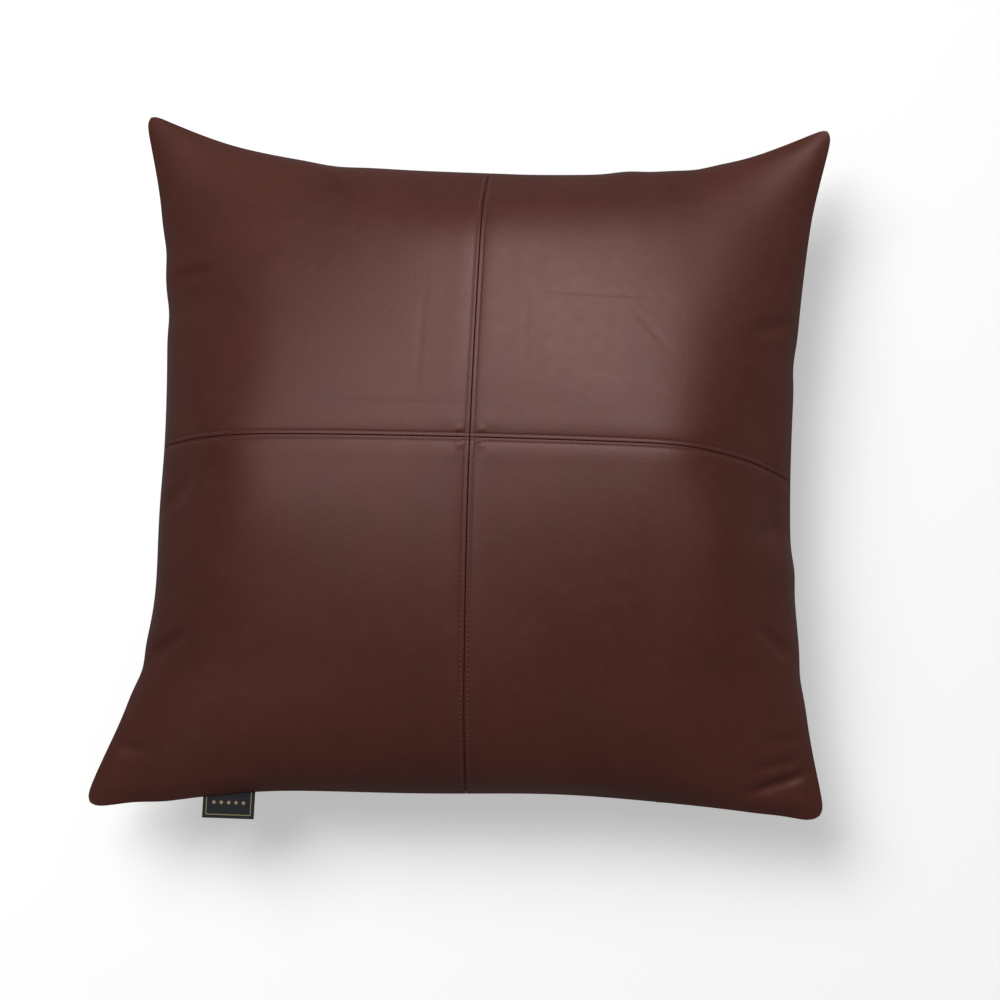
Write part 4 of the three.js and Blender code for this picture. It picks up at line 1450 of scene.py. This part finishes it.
class CUSHION_OT_zip_pull(CushionOperator, bpy.types.Operator):
    """Make the zip's pull tab"""

    bl_idname = "cushion.zip_pull"
    bl_label = "Zip Pull"

    def execute(self, context):
        low, high = PULL_LOW, PULL_HIGH
        chain = (low.z + high.z) / 2
        half = (high.z - low.z) / 2
        piece = block("brass_pull", low, high)
        round_edges(piece, edges_along(Y, X, low.x), half - HAIR, 9)
        window_half, bar = 0.0015, 0.0011
        neck = high.x - 0.0052
        for side in (1, -1):
            z = sorted((chain + side * (window_half + bar), chain + side * (half + PAST)))
            cut = block("cut", (neck - 0.002, low.y - PAST, z[0]), (high.x + PAST, high.y + PAST, z[1]))
            round_edges(cut, edges_along(Y), 0.0008, 4)
            combine(piece, cut, "DIFFERENCE")
        window_low = (neck, low.y - PAST, chain - window_half)
        window_high = (high.x - bar, high.y + PAST, chain + window_half)
        window = block("window", window_low, window_high)
        round_edges(window, edges_along(Y), 0.0006, 4)
        combine(piece, window, "DIFFERENCE")
        bpy.ops.object.select_all(action="DESELECT")
        bpy.ops.mesh.primitive_cylinder_add(
            vertices=32,
            radius=0.002,
            depth=0.004,
            location=(low.x + half, (low.y + high.y) / 2, chain),
            rotation=(math.pi / 2, 0, 0),
        )
        hole = bpy.context.object
        bpy.ops.object.transform_apply(location=True, rotation=True, scale=True)
        combine(piece, hole, "DIFFERENCE")
        recess_half, recess_depth = 0.0022, 0.0002
        recess_low = (low.x + 2.1 * half, low.y - PAST, chain - recess_half)
        recess_high = (neck - 0.004, low.y + recess_depth, chain + recess_half)
        recess = block("recess", recess_low, recess_high)
        round_edges(recess, edges_along(Y), 0.001, 4)
        combine(piece, recess, "DIFFERENCE")
        soften(piece, 0.00016)
        finish_piece(piece, "pull", brass_material(), "zip_metal", "zip_pull")
        return {"FINISHED"}


class CUSHION_OT_inner_cushion(CushionOperator, bpy.types.Operator):
    """Make the cotton shells of the inner cushion and its filling"""

    bl_idname = "cushion.inner_cushion"
    bl_label = "Inner Cushion"

    def execute(self, context):
        for side, sign in (("front", 1), ("back", -1)):
            piece = insert_shell(f"inner_shell_{side}", sign)
            finish_piece(piece, "cushion", cotton_material(), "insert_cotton", f"insert_shell_{side}")
        piece = filling("inner_filling")
        finish_piece(piece, "cushion", filling_material(), "filling", "insert_filling")
        return {"FINISHED"}


class CUSHION_OT_stage(CushionOperator, bpy.types.Operator):
    """Set up the floor, the lights and the camera"""

    bl_idname = "cushion.stage"
    bl_label = "Stage"

    def execute(self, context):
        stage = settings("cushion_stage")
        bpy.ops.object.select_all(action="DESELECT")
        bpy.ops.mesh.primitive_plane_add(size=6, location=(0, 0, -0.0003))
        floor = context.object
        floor.name = "floor"
        floor.data.materials.append(floor_material())
        floor.visible_glossy = False
        aim = (0, 0, 0.05)
        key = softbox("key_light", (-0.42, 0.35, 1.55), aim, 0.8, stage.key)
        side = softbox("side_light", (0.22, 0.92, 1.4), aim, 0.8, stage.side)
        low = softbox("floor_light", (-1.1, 1.1, 2.2), aim, 1.8, stage.floor)
        for light, state in ((key, "EXCLUDE"), (side, "EXCLUDE"), (low, "INCLUDE")):
            link_floor(light, floor, state)
        world = bpy.data.worlds.new("room")
        world.use_nodes = True
        background = world.node_tree.nodes["Background"]
        background.inputs["Color"].default_value = (1, 1, 1, 1)
        background.inputs["Strength"].default_value = stage.fill
        context.scene.world = world
        context.scene.view_settings.view_transform = "Standard"
        target = Vector((0.0174, -0.0266, 0.054))
        elevation, azimuth, roll, away = 79.5, -7.1, -5.1, 1.2
        context.scene.camera = camera_towards(target, elevation, azimuth, roll, away, stage.lens)
        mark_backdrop(floor, key, side, low)
        return {"FINISHED"}


def softbox(name, place_of, target, size, power):
    light = bpy.data.lights.new(name, "AREA")
    light.size = size
    light.energy = power
    made = bpy.data.objects.new(name, light)
    made.location = place_of
    made.rotation_euler = (Vector(target) - Vector(place_of)).to_track_quat("-Z", "Y").to_euler()
    bpy.context.scene.collection.objects.link(made)
    return made


def link_floor(light, floor, state):
    """Lets a light shine on the floor alone, or on all but the floor."""
    receivers = bpy.data.collections.new(f"{light.name}_floor")
    receivers.objects.link(floor)
    receivers.collection_objects[0].light_linking.link_state = state
    light.light_linking.receiver_collection = receivers


def camera_towards(target, elevation, azimuth, roll, distance, lens):
    """A camera that looks at the target. An azimuth of 0 looks along +Y; angles are in degrees."""
    up_angle, turn, tilt = (math.radians(angle) for angle in (elevation, azimuth, roll))
    ahead = Vector(
        (math.sin(turn) * math.cos(up_angle), math.cos(turn) * math.cos(up_angle), -math.sin(up_angle))
    )
    right = Vector((math.cos(turn), -math.sin(turn), 0))
    upright = right.cross(ahead)
    right, upright = (
        right * math.cos(tilt) + upright * math.sin(tilt),
        upright * math.cos(tilt) - right * math.sin(tilt),
    )
    data = bpy.data.cameras.new("camera")
    data.lens = lens
    data.sensor_width = 36
    made = bpy.data.objects.new("camera", data)
    turned = Matrix((right, upright, -ahead)).transposed().to_4x4()
    made.matrix_world = Matrix.Translation(target - ahead * distance) @ turned
    bpy.context.scene.collection.objects.link(made)
    return made


OPERATORS = [
    CUSHION_OT_front_quarters,
    CUSHION_OT_back_panel,
    CUSHION_OT_topstitching,
    CUSHION_OT_seam_threads,
    CUSHION_OT_side_label,
    CUSHION_OT_zip_tapes,
    CUSHION_OT_zip_coils,
    CUSHION_OT_zip_stops,
    CUSHION_OT_zip_slider,
    CUSHION_OT_zip_pull,
    CUSHION_OT_inner_cushion,
    CUSHION_OT_stage,
]


class CUSHION_PT_build(bpy.types.Panel):
    """The cushion's pieces, in the order they are made"""

    bl_idname = "CUSHION_PT_build"
    bl_label = "Leather Cushion"
    bl_space_type = "VIEW_3D"
    bl_region_type = "UI"
    bl_category = "Cushion"

    def draw(self, context):
        for operator in OPERATORS:
            self.layout.operator(operator.bl_idname)
        for group in GROUPS:
            box = self.layout.box()
            for key in GROUPS[group].__annotations__:
                box.prop(settings(group), key)


GROUPS = {
    "cushion_cover": CushionCover,
    "cushion_seams": CushionSeams,
    "cushion_label": CushionLabel,
    "cushion_zip": CushionZip,
    "cushion_stage": CushionStage,
}
CLASSES = [*GROUPS.values(), *OPERATORS, CUSHION_PT_build]


def register():
    for cls in CLASSES:
        bpy.utils.register_class(cls)
    for name, group in GROUPS.items():
        setattr(bpy.types.Scene, name, bpy.props.PointerProperty(type=group))


def unregister():
    for name in GROUPS:
        delattr(bpy.types.Scene, name)
    for cls in reversed(CLASSES):
        bpy.utils.unregister_class(cls)


def plain(bounds):
    return [list(corner) if hasattr(corner, "__len__") else corner for corner in bounds]


def main():
    register()
    for operator in OPERATORS:
        group, name = operator.bl_idname.split(".")
        getattr(getattr(bpy.ops, group), name)()
    {"cad": plain(CAD_BOX), "visual": plain(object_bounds())}


if __name__ == "__main__":
    main()
